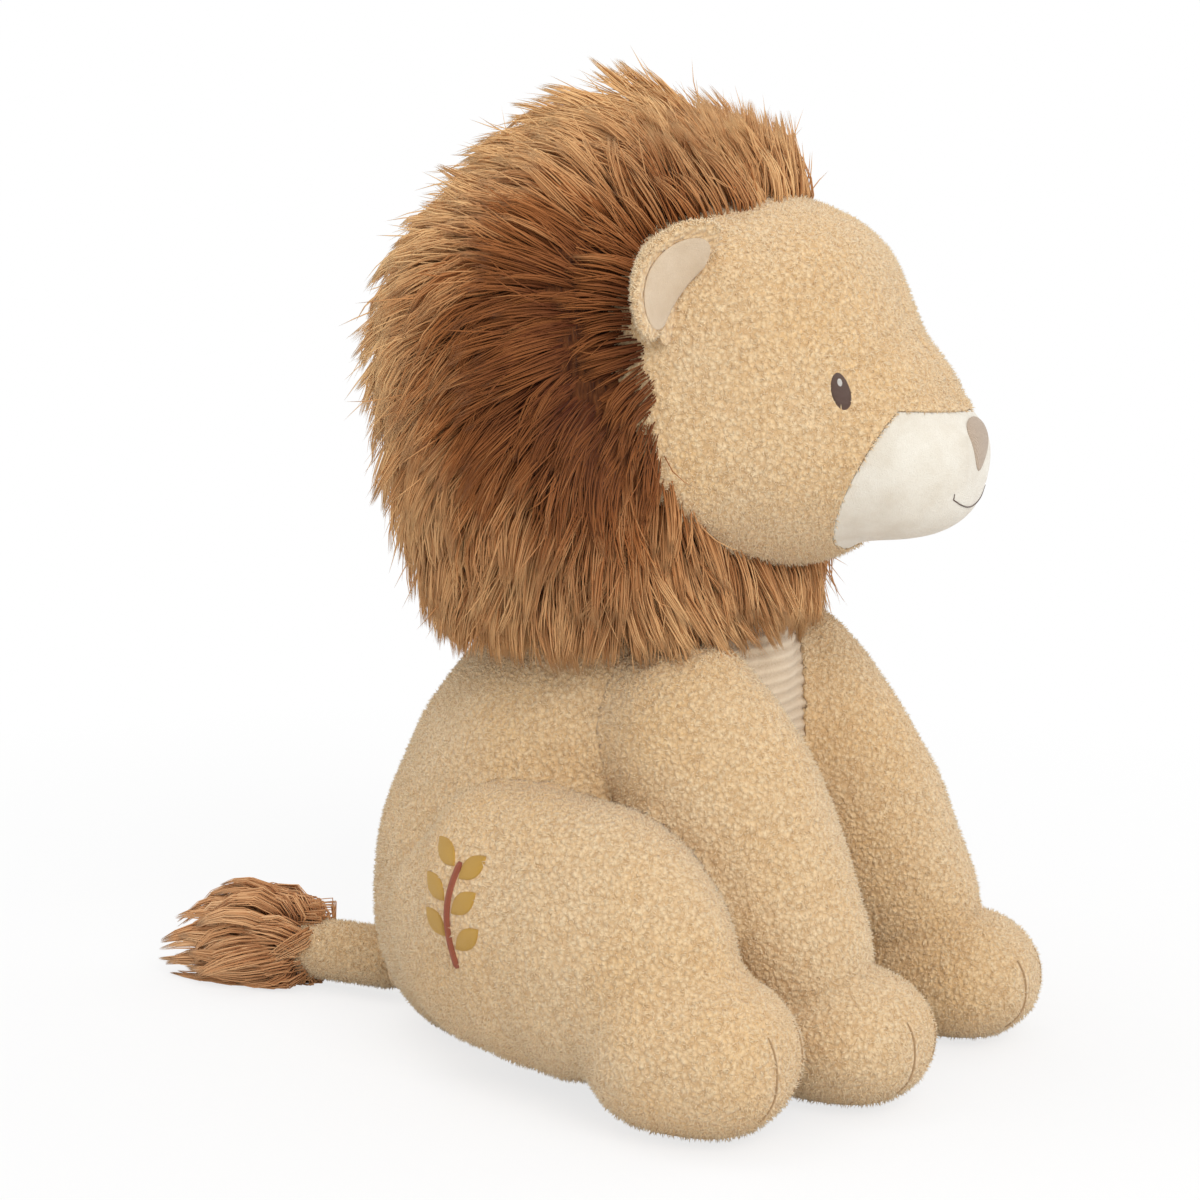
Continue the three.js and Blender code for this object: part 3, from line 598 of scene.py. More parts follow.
torso = {
    "wide": 248, "deep": 260, "tall": 310, "fullness": 6, "flat": 0.5,
    "stations": [(-0.135, 0, 0.81, 0.78), (-0.127, 0.166, 0.96, 0.946), (-0.154, 0.333, 1, 1),
                 (-0.219, 0.5, 0.944, 0.95), (-0.302, 0.667, 0.847, 0.83), (-0.377, 0.833, 0.718, 0.66),
                 (-0.4, 1, 0.5, 0.44)],
}
foreleg = {
    "x": 76, "y": -133, "wide": 96, "deep": 146, "topZ": 262, "tall": 212, "reach": 111, "fullness": 5,
    "stations": [(0.02, 0.02, 0, 0.6, 0.62), (0, 0.13, 0.22, 0.92, 0.8), (-0.01, 0.37, 0.46, 1, 0.86),
                 (-0.04, 0.62, 0.67, 0.98, 0.8), (-0.06, 0.82, 0.835, 0.92, 0.7), (-0.06, 1, 1, 0.84, 0.64)],
    "rightIn": 14, "rightBack": 17,
}
paw = {
    "x": 82, "y": -255, "wide": 96, "long": 116, "tall": 82, "fullness": 2.7,
    "stations": [(0, 0.86, 0.8), (0.25, 0.95, 0.98), (0.5, 1, 1), (0.75, 1, 0.98), (1, 0.9, 0.84)],
}
foot = {**paw, "x": 158, "y": -187, "wide": 100, "long": 122, "tall": 96}
thigh = {
    "x": 118, "y": 23, "wide": 106, "tall": 166, "long": 222, "spread": 42, "midZ": 93, "fullness": 3,
    "stations": [(0, 0, 0, 0.62, 0.66), (0.05, 0.2, 0, 0.86, 0.94), (0.2, 0.4, 0.03, 1, 1),
                 (0.42, 0.6, 0.02, 1, 1), (0.72, 0.8, -0.05, 0.92, 0.92), (1, 1, -0.2, 0.84, 0.7)],
}
body = {"voxel": 3.3, "shoulderBlend": 46, "haunchBlend": 15, "ankleBlend": 24, "soleZ": 5.2, "lumps": 2.2,
        "ankleCrease": 5}


def torsoStations():
    return [((0, back * torso["deep"], up * torso["tall"] - torso["flat"]),
             wide * torso["wide"] / 2, deep * torso["deep"] / 2)
            for back, up, wide, deep in torso["stations"]]


def forelegStations(side):
    inShift, backShift = (foreleg["rightIn"], foreleg["rightBack"]) if side == right else (0, 0)
    return [((side * (foreleg["x"] - inward * foreleg["wide"] - down * inShift),
              foreleg["y"] - forward * (foreleg["reach"] - backShift),
              foreleg["topZ"] - down * foreleg["tall"]),
             wide * foreleg["wide"] / 2, deep * foreleg["deep"] / 2)
            for inward, forward, down, wide, deep in foreleg["stations"]]


def pawStations(size, side, inShift=0, backShift=0):
    return [((side * (size["x"] - inShift), size["y"] + backShift + (0.5 - along) * size["long"],
              size["tall"] / 2 - torso["flat"]),
             wide * size["wide"] / 2, tall * size["tall"] / 2)
            for along, wide, tall in size["stations"]]


def thighStations(side):
    return [((side * (thigh["x"] + outward * thigh["spread"]), thigh["y"] - forward * thigh["long"],
              thigh["midZ"] + up * thigh["tall"]),
             wide * thigh["wide"] / 2, tall * thigh["tall"] / 2)
            for outward, forward, up, wide, tall in thigh["stations"]]


def bodyForms():
    forms = {"torso": [(torsoStations(), torso["fullness"])]}
    for side, word in sides:
        shift = (foreleg["rightIn"], foreleg["rightBack"]) if side == right else (0, 0)
        forms[f"front_leg_{word}"] = [(forelegStations(side), foreleg["fullness"]),
                                      (pawStations(paw, side, *shift), paw["fullness"])]
        forms[f"hind_leg_{word}"] = [(thighStations(side), thigh["fullness"]),
                                     (pawStations(foot, side), foot["fullness"])]
    return forms


def softened(piece, weights, rounds, factor=0.5):
    group = piece.vertex_groups.new(name="soft")
    for k in np.nonzero(weights > 0.01)[0]:
        group.add([int(k)], float(weights[k]), "REPLACE")
    step = piece.modifiers.new("soft", "SMOOTH")
    step.factor = factor
    step.iterations = rounds
    step.vertex_group = "soft"
    settled(piece)
    piece.vertex_groups.clear()
    return piece


forms = bodyForms()
trees = {name: formTree(name, form) for name, form in forms.items()}
whole = formPiece("form_body", [form for group in forms.values() for form in group])
remeshed(whole, body["voxel"])
co = placesOf(whole.data)
reach = {name: distances(tree, co) / mm for name, tree in trees.items()}
limbTrees = {name: [formTree(name, [form]) for form in forms[name]] for name in forms if name != "torso"}
weights = np.zeros(len(co))
for name in forms:
    if name == "torso":
        continue
    blend = body["shoulderBlend"] if name.startswith("front") else body["haunchBlend"]
    near = np.maximum(reach["torso"], reach[name])
    weights = np.maximum(weights, 1 - smoothStep(0.25, 1, near / blend))
    limb, end = [distances(tree, co) / mm for tree in limbTrees[name]]
    weights = np.maximum(weights, 1 - smoothStep(0.2, 1, np.maximum(limb, end) / body["ankleBlend"]))
# the crease where two legs press on each other stays sharp
for word in ("right", "left"):
    press = np.maximum(reach[f"front_leg_{word}"], reach[f"hind_leg_{word}"])
    weights *= smoothStep(3, 22, press)
weights *= smoothStep(4, 24, co[:, 2] / mm)
softened(whole, weights, 70)
co = placesOf(whole.data)
lumps = body["lumps"] * mm * smoothStep(2, 30, co[:, 2] / mm)
push = np.array([noise.noise(Vector(p) * 22) for p in co]) * lumps
for word in ("right", "left"):
    # a soft crease where the front paw is turned out of its leg
    limb, end = [distances(tree, co) / mm for tree in limbTrees[f"front_leg_{word}"]]
    front = smoothStep(-205, -235, co[:, 1] / mm)
    push -= body["ankleCrease"] * mm * front * np.exp(-(np.maximum(limb, end) / 5) ** 2)
co = co + normalsOf(whole.data) * push[:, None]
co[:, 2] = np.maximum(co[:, 2], 0)
setPlaces(whole.data, co)
print("body inflated", len(co))


# The pieces of the body: torso, belly panel, legs and soles, each cut along its seams with a turned-in hem

belly = {
    "wide": 208, "low": 40, "tall": 245, "frontY": -104, "ribPitch": 6.7, "ribDepth": 1.5, "hem": 5,
    "outline": [(0, 0), (0.6, 0.03), (1, 0.2), (0.96, 0.4), (0.72, 0.61), (0.56, 0.82), (0.46, 0.99), (0, 1)],
}
bellyCurve = [Vector((out * belly["wide"] / 2, belly["low"] + up * belly["tall"], 0))
              for out, up in belly["outline"]]
bellyEdge = np.array([splinePoint(bellyCurve, k / 120)[:2] for k in range(121)]) * mm


def bellyHalf(z):
    return np.interp(z, bellyEdge[:, 1], bellyEdge[:, 0], left=-1, right=-1)


def bellyMask(points):
    inside = np.abs(points[:, 0]) < bellyHalf(points[:, 2])
    return inside & (points[:, 1] < belly["frontY"] * mm)


def cutPiece(name, source, keep, material, hem=5):
    bm = bmesh.new()
    bm.from_mesh(source.data)
    bm.faces.ensure_lookup_table()
    bmesh.ops.delete(bm, geom=[f for f in bm.faces if not keep[f.index]], context="FACES")
    bm.normal_update()
    shown = len(bm.faces)
    inward = {v: v.normal.copy() for v in bm.verts if v.is_boundary}
    edge = bmesh.ops.extrude_edge_only(bm, edges=[e for e in bm.edges if e.is_boundary])
    grown = {g for g in edge["geom"] if isinstance(g, bmesh.types.BMVert)}
    for vert in grown:
        twin = min((e.other_vert(vert) for e in vert.link_edges if e.other_vert(vert) in inward),
                   key=lambda other: (other.co - vert.co).length)
        vert.co -= inward[twin] * hem * mm
    piece = pieceFrom(name, bm, material)
    piece["shown"] = shown
    return piece


faceMiddle, faceNormal = facesOf(whole.data)
reachFaces = np.stack([distances(trees[name], faceMiddle) for name in forms], axis=1)
owner = np.argmin(reachFaces, axis=1)
ownerNames = list(forms)
isBelly = (owner == 0) & bellyMask(faceMiddle)
lowSole = (faceMiddle[:, 2] < body["soleZ"] * mm) & (owner > 0)

# the panel's edge runs on its own outline, not along the mesh
bm = bmesh.new()
bm.from_mesh(whole.data)
bm.faces.ensure_lookup_table()
for edge in bm.edges:
    kinds = {bool(isBelly[f.index]) for f in edge.link_faces}
    owners = {int(owner[f.index]) for f in edge.link_faces}
    if len(kinds) == 2 and owners == {0}:
        for vert in edge.verts:
            half = float(bellyHalf(vert.co.z))
            if 0 < half and abs(abs(vert.co.x) - half) < 0.003:
                vert.co.x = math.copysign(half, vert.co.x)
bm.to_mesh(whole.data)
bm.free()

bodyTree = treeOf(whole)
bodyPieces = {}
bodyPieces["torso"] = cutPiece("torso_plush", whole, (owner == 0) & ~isBelly, plushFinish)
for k, name in enumerate(ownerNames):
    if name == "torso":
        continue
    bodyPieces[name] = cutPiece(f"{name}_plush", whole, (owner == k) & ~lowSole, plushFinish)
    sole = cutPiece(f"{name}_sole_plush", whole, (owner == k) & lowSole, plushFinish)
    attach(sole, "torso")
    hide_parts(f"{name}_sole")
for name, piece in bodyPieces.items():
    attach(piece, "torso")
    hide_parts(f"{name}_skin")


def ribbedPanel():
    panel = cutPiece("belly_corduroy", whole, isBelly, ribFinish, 0.01)
    bm = bmesh.new()
    bm.from_mesh(panel.data)
    bmesh.ops.remove_doubles(bm, verts=bm.verts, dist=0.0001)
    bmesh.ops.subdivide_edges(bm, edges=bm.edges, cuts=2, use_grid_fill=True, smooth=0.4)
    bm.normal_update()
    rim = [e for e in bm.edges if e.is_boundary]
    rimPoints = KDTree(len(rim))
    for k, edge in enumerate(rim):
        rimPoints.insert((edge.verts[0].co + edge.verts[1].co) / 2, k)
    rimPoints.balance()
    layer = bm.verts.layers.float.new("groove")
    for vert in bm.verts:
        wave = 0.5 + 0.5 * math.cos(math.tau * (vert.co.z / mm + vert.co.x / mm * 0.02) / belly["ribPitch"])
        rib = wave ** 0.7
        edgeShare = min(rimPoints.find(vert.co)[2] / (5 * mm), 1)
        # the groove shade is 1 at the bottom of a groove, where the painted shade is darkest, and 0 on a rib
        vert[layer] = 1 - rib
        vert.co += vert.normal * mm * (belly["ribDepth"] * (rib - 0.75) - (1 - edgeShare) * 1.4)
    edge = bmesh.ops.extrude_edge_only(bm, edges=[e for e in bm.edges if e.is_boundary])
    for vert in [g for g in edge["geom"] if isinstance(g, bmesh.types.BMVert)]:
        vert.co.y += belly["hem"] * mm
    bm.to_mesh(panel.data)
    bm.free()
    for polygon in panel.data.polygons:
        polygon.use_smooth = True
    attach(panel, "torso")
    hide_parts("belly_panel")
    return panel


ribbedPanel()
print("body cut into its pieces")


# Head: skull and snout inflated as one, then the velour muzzle set in below the pile

head = {
    "skull": {"wide": 238, "deep": 262, "low": 297, "tall": 225, "y": -119, "fullness": 2.5,
              "stations": [(-0.03, 0, 0.86, 0.86), (-0.02, 0.25, 1.03, 1), (0, 0.5, 1, 1),
                           (0.012, 0.75, 1, 1.03), (0.05, 1, 0.78, 0.84)]},
    "snout": {"wide": 168, "tall": 144, "rootY": -169, "long": 128, "rootZ": 385, "drop": 20, "fullness": 4,
              "stations": [(0, 0, 1, 1), (0.25, 0.05, 1, 1), (0.5, 0.25, 0.88, 0.86),
                           (0.75, 0.8, 0.71, 0.67), (1, 1, 0.55, 0.5)]},
    "voxel": 3.2, "blend": 40, "fill": 7, "eyeDimple": 1.8, "seamDeep": 2.6,
}
muzzle = {"backY": -209, "backZ": 300, "topY": -266, "topZ": 402, "frontY": -297, "frontZ": 399}
eye = {"x": 63, "z": 413, "wide": 10.5, "tall": 20.5, "proud": 1.6}
glint = {"wide": 2.8, "tall": 4.6, "up": 4.5}
nose = {"wide": 40, "topZ": 400, "tall": 35, "proud": 2.0}
smile = {"wide": 54, "z": 350, "sag": 6.5, "radius": 0.42, "tick": 3.5}


def headStations():
    skull, snout = head["skull"], head["snout"]
    skullForm = [((0, skull["y"] + back * skull["deep"], skull["low"] + up * skull["tall"]),
                  wide * skull["wide"] / 2, deep * skull["deep"] / 2)
                 for back, up, wide, deep in skull["stations"]]
    snoutForm = [((0, snout["rootY"] - along * snout["long"], snout["rootZ"] - drop * snout["drop"]),
                  wide * snout["wide"] / 2, tall * snout["tall"] / 2)
                 for along, drop, wide, tall in snout["stations"]]
    return [(skullForm, skull["fullness"]), (snoutForm, snout["fullness"])]


def eyePlace(side):
    skull = head["skull"]
    depth = skull["deep"] / 2 * math.sqrt(1 - (eye["x"] / (skull["wide"] / 2)) ** 2)
    centre = Vector((side * eye["x"], skull["y"] - depth, eye["z"])) * mm
    facing = Vector((side * eye["x"] / skull["wide"] ** 2, -depth / skull["deep"] ** 2, 0)).normalized()
    return centre, facing


def makeHead():
    shape = formPiece("head_form", headStations())
    remeshed(shape, head["voxel"])
    skullTree, snoutTree = [formTree("head_part", [form]) for form in headStations()]
    co = placesOf(shape.data)
    # the snout swells out of the skull: stuffing fills the crease between them
    near = np.clip(np.maximum(distances(skullTree, co), distances(snoutTree, co)) / mm / head["blend"], 0, 1)
    setPlaces(shape.data, co + normalsOf(shape.data) * ((1 - near) ** 2 * head["fill"] * mm)[:, None])
    softened(shape, 1 - smoothStep(0.3, 1, near), 70)
    co = placesOf(shape.data)
    normals = normalsOf(shape.data)
    push = np.array([noise.noise(Vector(p) * 24) for p in co]) * 1.2 * mm
    for side, word in sides:
        centre, facing = eyePlace(side)
        away = np.linalg.norm(co - np.array(centre), axis=1) / mm
        push -= head["eyeDimple"] * mm * np.exp(-(away / 15) ** 2)
    # forehead seams: one up the middle, and a dart over each side of the snout
    for line in foreheadSeams:
        push -= head["seamDeep"] * mm * np.exp(-(lineDistance(co, line) / (3 * mm)) ** 2)
    setPlaces(shape.data, co + normals * push[:, None])
    return shape


def lineDistance(points, line):
    best = np.full(len(points), 1.0)
    line = np.array(line, float) * mm
    for start, end in zip(line[:-1], line[1:]):
        run = end - start
        share = np.clip(((points - start) @ run) / (run @ run), 0, 1)
        gap = np.linalg.norm(points - start - share[:, None] * run, axis=1)
        best = np.minimum(best, gap)
    return best


foreheadSeams = [
    [(0, -284, 404), (0, -268, 424), (0, -254, 446), (0, -240, 470), (0, -214, 494), (0, -180, 512)],
    [(-40, -272, 400), (-46, -258, 414), (-52, -243, 427)],
    [(40, -272, 400), (46, -258, 414), (52, -243, 427)],
]
headShape = makeHead()
headTree = treeOf(headShape)


def muzzlePlanes():
    backLine = Vector((0, muzzle["topY"] - muzzle["backY"], muzzle["topZ"] - muzzle["backZ"])).normalized()
    topLine = Vector((0, muzzle["frontY"] - muzzle["topY"], muzzle["frontZ"] - muzzle["topZ"])).normalized()
    corner = Vector((0, muzzle["topY"], muzzle["topZ"])) * mm
    return corner, Vector((0, -backLine.z, backLine.y)), Vector((0, -topLine.z, topLine.y))


def cutHead():
    corner, forward, down = muzzlePlanes()
    bm = bmesh.new()
    bm.from_mesh(headShape.data)
    for normal in (forward, down):
        bmesh.ops.bisect_plane(bm, geom=bm.verts[:] + bm.edges[:] + bm.faces[:], dist=1e-5,
                               plane_co=corner, plane_no=normal)
    bm.to_mesh(headShape.data)
    bm.free()
    middle, normal = facesOf(headShape.data)
    rel = middle - np.array(corner)
    inMuzzle = (rel @ np.array(forward) > 0) & (rel @ np.array(down) > 0)
    skin = cutPiece("head_plush", headShape, ~inMuzzle, plushFinish)
    velour = cutPiece("muzzle_velour", headShape, inMuzzle, velourFinish)
    co = placesOf(velour.data)
    toEdge = np.minimum(np.abs((co - np.array(corner)) @ np.array(forward)),
                        np.where((co - np.array(corner)) @ np.array(forward) > 0,
                                 np.abs((co - np.array(corner)) @ np.array(down)), 1))
    swell = smoothStep(0, 14 * mm, toEdge)
    setPlaces(velour.data, co - normalsOf(velour.data) * ((1.0 - 0.9 * swell) * 0.8 * mm)[:, None])
    return skin, velour


headSkin, velourPiece = cutHead()
for piece, node, finishSlot in ((headSkin, "head_skin", "plush_cloth"), (velourPiece, "muzzle_panel", "ivory_velour")):
    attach(piece, "head")
    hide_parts(node)


def raisedPatch(name, tree, plan, centre, facing, proud, material, lift=0.0, up=(0, 0, 1)):
    # a closed lens of thread or cloth; plan gives its outline in mm at a turn, laid on the surface behind it
    across = facing.cross(Vector(up)).normalized()
    rise = across.cross(facing).normalized()
    bm = bmesh.new()
    bmesh.ops.create_uvsphere(bm, u_segments=48, v_segments=14, radius=1)
    for vert in bm.verts:
        reach = min(math.hypot(vert.co.x, vert.co.y), 1)
        a, b = plan(math.atan2(vert.co.y, vert.co.x))
        start = centre + across * a * reach * mm + rise * b * reach * mm + facing * 0.06
        hit, normal, _, _ = tree.ray_cast(start, -facing)
        if hit is None:
            hit, normal = start - facing * 0.06, facing
        vert.co = hit + normal * (lift + vert.co.z * proud) * mm
    bmesh.ops.recalc_face_normals(bm, faces=bm.faces)
    return pieceFrom(name, bm, material)


def oval(wide, tall):
    return lambda turn: (math.cos(turn) * wide / 2, math.sin(turn) * tall / 2)


def nosePlan(turn):
    # a rounded triangle, broad at the top
    c, s = math.cos(turn), math.sin(turn)
    width = nose["wide"] / 2 * (0.78 + 0.3 * s)
    return c * width, s * nose["tall"] / 2 if s < 0 else s * nose["tall"] / 2 * 0.8


def threadPiece(name, tree, points, facing, radius, material):
    # a line of stitching laid on the surface
    data = bpy.data.curves.new(name, "CURVE")
    data.dimensions = "3D"
    data.bevel_depth = radius * mm
    data.bevel_resolution = 2
    data.use_fill_caps = True
    spline = data.splines.new("POLY")
    spline.points.add(len(points) - 1)
    for k, point in enumerate(points):
        start = Vector(point) * mm + facing * 0.06
        hit, normal, _, _ = tree.ray_cast(start, -facing)
        place = (hit if hit is not None else Vector(point) * mm) + facing * radius * 0.4 * mm
        spline.points[k].co = (*place, 1)
        spline.points[k].radius = 0.6 if k in (0, len(points) - 1) else 1
    swept = bpy.data.objects.new(name, data)
    bpy.context.scene.collection.objects.link(swept)
    mesh = bpy.data.meshes.new_from_object(swept.evaluated_get(bpy.context.evaluated_depsgraph_get()))
    bpy.data.objects.remove(swept)
    bm = bmesh.new()
    bm.from_mesh(mesh)
    bmesh.ops.remove_doubles(bm, verts=bm.verts, dist=1e-6)
    bm.to_mesh(mesh)
    bm.free()
    return pieceOf(name, mesh, material)


faceTrim = []
for side, word in sides:
    centre, facing = eyePlace(side)
    iris = raisedPatch(f"eye_{word}_thread", headTree, oval(eye["wide"], eye["tall"]), centre, facing,
                       eye["proud"], brownThread)
    spot = centre + Vector((0, 0, glint["up"])) * mm
    shine = raisedPatch(f"eye_glint_{word}_thread", headTree, oval(glint["wide"], glint["tall"]), spot, facing,
                        0.7, whiteThread, lift=eye["proud"] * 0.85)
    faceTrim += [(iris, f"eye_{word}", "thread_brown"), (shine, f"eye_glint_{word}", "thread_white")]
front = Vector((0, -1, 0))
velourTree = treeOf(velourPiece)
noseCentre = Vector((0, -297, nose["topZ"] - nose["tall"] * 0.5)) * mm
noseTilt = Vector((0, -1, 0.25)).normalized()
faceTrim.append((raisedPatch("nose_cloth", headTree, nosePlan, noseCentre, noseTilt, nose["proud"], noseFinish),
                 "nose", "nose_cloth"))
smileLine = [(smile["wide"] * (k / 20 - 0.5), -290, smile["z"] - smile["sag"] * (1 - (k / 10 - 1) ** 2))
             for k in range(21)]
smileLine = [(smileLine[0][0] - 1, -290, smile["z"] + smile["tick"]), *smileLine,
             (smileLine[-1][0] + 1, -290, smile["z"] + smile["tick"])]
faceTrim.append((threadPiece("mouth_thread", velourTree, smileLine, front, smile["radius"], brownThread),
                 "mouth_stitch", "thread_brown"))
for piece, node, finishSlot in faceTrim:
    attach(piece, "head")
    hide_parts(node)
print("head and face made")


# Ears: a cupped flap, its lining set inside the rim, and the sewn root

ear = {
    "x": 103, "y": -152, "z": 464, "wide": 78, "tall": 44, "thick": 11, "cup": 17, "nod": 5,
    "rootTall": 8, "rootWide": 58, "middle": 0.3, "hollow": 3.2,
    "liningWide": 60, "liningTall": 35, "liningThick": 2.6,
    "along": (-0.578, 0.314, -0.754), "out": (-0.8, 0.22, 0.56),
}


def earPlace(side):
    along = Vector(ear["along"]).normalized()
    forward = Vector(ear["out"]).cross(along).normalized()
    out = along.cross(forward)
    place = Matrix((along, forward, out)).transposed().to_4x4()
    place.translation = (-ear["x"], ear["y"], ear["z"])
    return (Matrix.Scale(-1, 4, (1, 0, 0)) if side == left else Matrix()) @ place


def earForm(name, side, shape, material, body, node):
    bm = bmesh.new()
    bmesh.ops.create_uvsphere(bm, u_segments=56, v_segments=36, radius=1)
    for vert in bm.verts:
        x, y, z = shape(vert.co.x, vert.co.y, vert.co.z)
        rise = (z - ear["rootTall"]) / ear["tall"]
        y += ear["cup"] * (2 * x / ear["wide"]) ** 2 + ear["nod"] * rise * abs(rise)
        vert.co = earPlace(side) @ Vector((x, y, z)) * mm
    bmesh.ops.recalc_face_normals(bm, faces=bm.faces)
    piece = pieceFrom(name, bm, material)
    piece["shown"] = len(piece.data.polygons)
    if body:
        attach(piece, body)
    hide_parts(node)
    return piece


def flapShape(x, y, z):
    middle = ear["rootTall"] + ear["tall"] * ear["middle"]
    reach = math.hypot(x, z)
    thick = y * ear["thick"] / 2 * (1.15 if y > 0 else 1)
    if y > 0:
        thick -= ear["hollow"] * max(1 - (reach / 0.82) ** 4, 0)
    return x * ear["wide"] / 2, thick, max(middle + z * ear["tall"] / 2, ear["rootTall"] - 3)


def liningShape(x, y, z):
    middle = ear["rootTall"] + ear["tall"] * ear["middle"] - 4
    puff = ear["thick"] / 2 - ear["hollow"] + 1.2 + y * ear["liningThick"]
    return x * ear["liningWide"] / 2, puff, max(middle + z * ear["liningTall"] / 2, ear["rootTall"] - 3)


def rootShape(x, y, z):
    return x * ear["rootWide"] / 2, y * 4.2, z * 12 - 1


def onEarBack(points, side):
    # the back of the flap and its rolled rim, not the hollow in which the lining lies
    local = np.array(earPlace(side).inverted()) @ np.vstack([points.T / mm, np.ones(len(points))])
    rise = (local[2] - ear["rootTall"]) / ear["tall"]
    front = local[1] - ear["cup"] * (2 * local[0] / ear["wide"]) ** 2 - ear["nod"] * rise * abs(rise)
    middle = ear["rootTall"] + ear["tall"] * ear["middle"]
    reach = np.hypot(2 * local[0] / ear["wide"], 2 * (local[2] - middle) / ear["tall"])
    return (front < 1.5) | ((reach > 0.93) & (local[2] > middle))


earBacks = {}
for side, word in sides:
    earBacks[word] = earForm(f"ear_{word}_plush", side, flapShape, plushFinish, f"{word}_ear",
                             f"ear_{word}_back")
    earForm(f"ear_{word}_velour", side, liningShape, liningShadedFinish, f"{word}_ear", f"ear_{word}_lining")
    root = earForm(f"ear_{word}_seam", side, rootShape, plushFinish, None, f"ear_{word}_root")
    foot0, foot1 = [earPlace(side) @ Vector((0, 0, z)) * mm for z in (-2, ear["rootTall"] + 2)]
    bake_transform(root)


# Tail: stuffed tube on its seam, and the neck band

tail = {"y": 89, "z": 25, "thick": 38, "long": 84}


def makeTail():
    half = tail["thick"] / 2
    stations = [((0, tail["y"] + 1 + share * (tail["long"] - 1), tail["z"]), half, half) for share in (0, 0.5, 1)]
    tube = formPiece("tail_plush", [(stations, 7)])
    tube.data.materials.append(plushFinish)
    tube["shown"] = len(tube.data.polygons)
    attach(tube, "tail")
    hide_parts("tail_skin")
    seam = formPiece("tail_seam", [([((0, tail["y"] - 32 + share * 37, tail["z"]), half + 1.5, half + 1.5)
                                     for share in (0, 0.5, 1)], 6)])
    seam.data.materials.append(plushFinish)
    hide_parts("tail_gusset")
    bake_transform(seam)
    return tube


tailTube = makeTail()

neckBand = {"y": -104, "radius": 59, "low": 284, "high": 318, "thick": 4}


def makeNeckBand():
    bm = bmesh.new()
    tall = neckBand["high"] - neckBand["low"]
    bmesh.ops.create_cone(bm, segments=64, radius1=neckBand["radius"] * mm, radius2=(neckBand["radius"] - 3) * mm,
                          depth=tall * mm)
    long = [e for e in bm.edges if abs(e.verts[0].co.z - e.verts[1].co.z) > tall * 0.5 * mm]
    bmesh.ops.subdivide_edges(bm, edges=long, cuts=9)
    for vert in bm.verts:
        turn = math.atan2(vert.co.y, vert.co.x)
        gather = 1 + 0.012 * math.sin(turn * 24) + 0.05 * math.cos(vert.co.z / (tall * mm) * math.pi)
        vert.co = Vector((vert.co.x * gather, vert.co.y * gather + neckBand["y"] * mm,
                          vert.co.z + (neckBand["low"] + tall / 2) * mm))
    band = pieceFrom("neck_band", bm, plushFinish)
    wall = band.modifiers.new("wall", "SOLIDIFY")
    wall.thickness = neckBand["thick"] * mm
    settled(band)
    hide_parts("neck_gusset")
    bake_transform(band)


makeNeckBand()
print("ears, tail and neck band made")


# Stitching: toes, and the leaf sprig on the right thigh

toe = {"apart": 29, "low": 0.16, "high": 0.7, "radius": 0.65}
sprig = {"y": -45, "z": 80, "tall": 62, "bow": 7, "stemWide": 4, "leafLong": 22, "leafWide": 12,
         "leafTilt": 50, "pairs": 3, "proud": 1.7, "firstLeaf": 0.7, "leafLead": 0.15}
stitched = []


def toeStitches():
    front = Vector((0, -1, 0))
    for kind, size in (("front_leg", paw), ("hind_leg", foot)):
        for side, word in sides:
            shift = (foreleg["rightIn"], foreleg["rightBack"]) if (kind, side) == ("front_leg", right) else (0, 0)
            middle = side * (size["x"] - shift[0])
            for across in (-1, 1):
                spot = "inner" if across * side < 0 else "outer"
                line = [(middle + across * toe["apart"] / 2 * (1 + 0.25 * share),
                         size["y"] + shift[1] - size["long"] / 2,
                         size["tall"] * (toe["low"] + (toe["high"] - toe["low"]) * share))
                        for share in [k / 14 for k in range(15)]]
                name = f"{kind}_{word}_toe_stitch_{spot}"
                thread = threadPiece(f"{name}_thread", bodyTree, line, front, toe["radius"], tanThread)
                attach(thread, "torso")
                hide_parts(name)
                stitched.append(thread)


def stemPoint(share):
    return sprig["y"] + sprig["bow"] * math.sin(share * math.pi), sprig["z"] + share * sprig["tall"]


def leafPlan(turn):
    c, s = math.cos(turn), math.sin(turn)
    return math.copysign(s * s, s) * sprig["leafWide"] / 2, c * sprig["leafLong"] / 2


def makeSprig():
    outward = Vector((-1, -0.12, 0.1)).normalized()
    line = [(-160, *stemPoint(k / 24)) for k in range(25)]
    stem = threadPiece("sprig_stem_thread", bodyTree, line, outward, sprig["stemWide"] / 2, rustThread)
    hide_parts("sprig_stem")
    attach(stem, "torso")
    stitched.append(stem)
    tilt = math.radians(sprig["leafTilt"])
    for pair in range(sprig["pairs"]):
        for hand, word in ((-1, "front"), (1, "back")):
            share = (pair + sprig["firstLeaf"] + hand * sprig["leafLead"]) / sprig["pairs"]
            y, z = stemPoint(min(share, 1))
            run = Vector((0, hand * math.sin(tilt), math.cos(tilt)))
            centre = Vector((-160, y + hand * sprig["stemWide"] * 0.8, z)) * mm + run * sprig["leafLong"] / 2 * mm
            leaf = raisedPatch(f"sprig_leaf_{word}_{pair + 1}_thread", bodyTree, leafPlan, centre, outward,
                               sprig["proud"], ochreThread, up=run)
            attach(leaf, "torso")
            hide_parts(f"sprig_leaf_{word}_{pair + 1}")
            stitched.append(leaf)


toeStitches()
makeSprig()
print("stitching done")


# Mane: a ground painted dark as the shade deep inside the fur, which swells from the hairline, and locks of long hair
# combed back and down

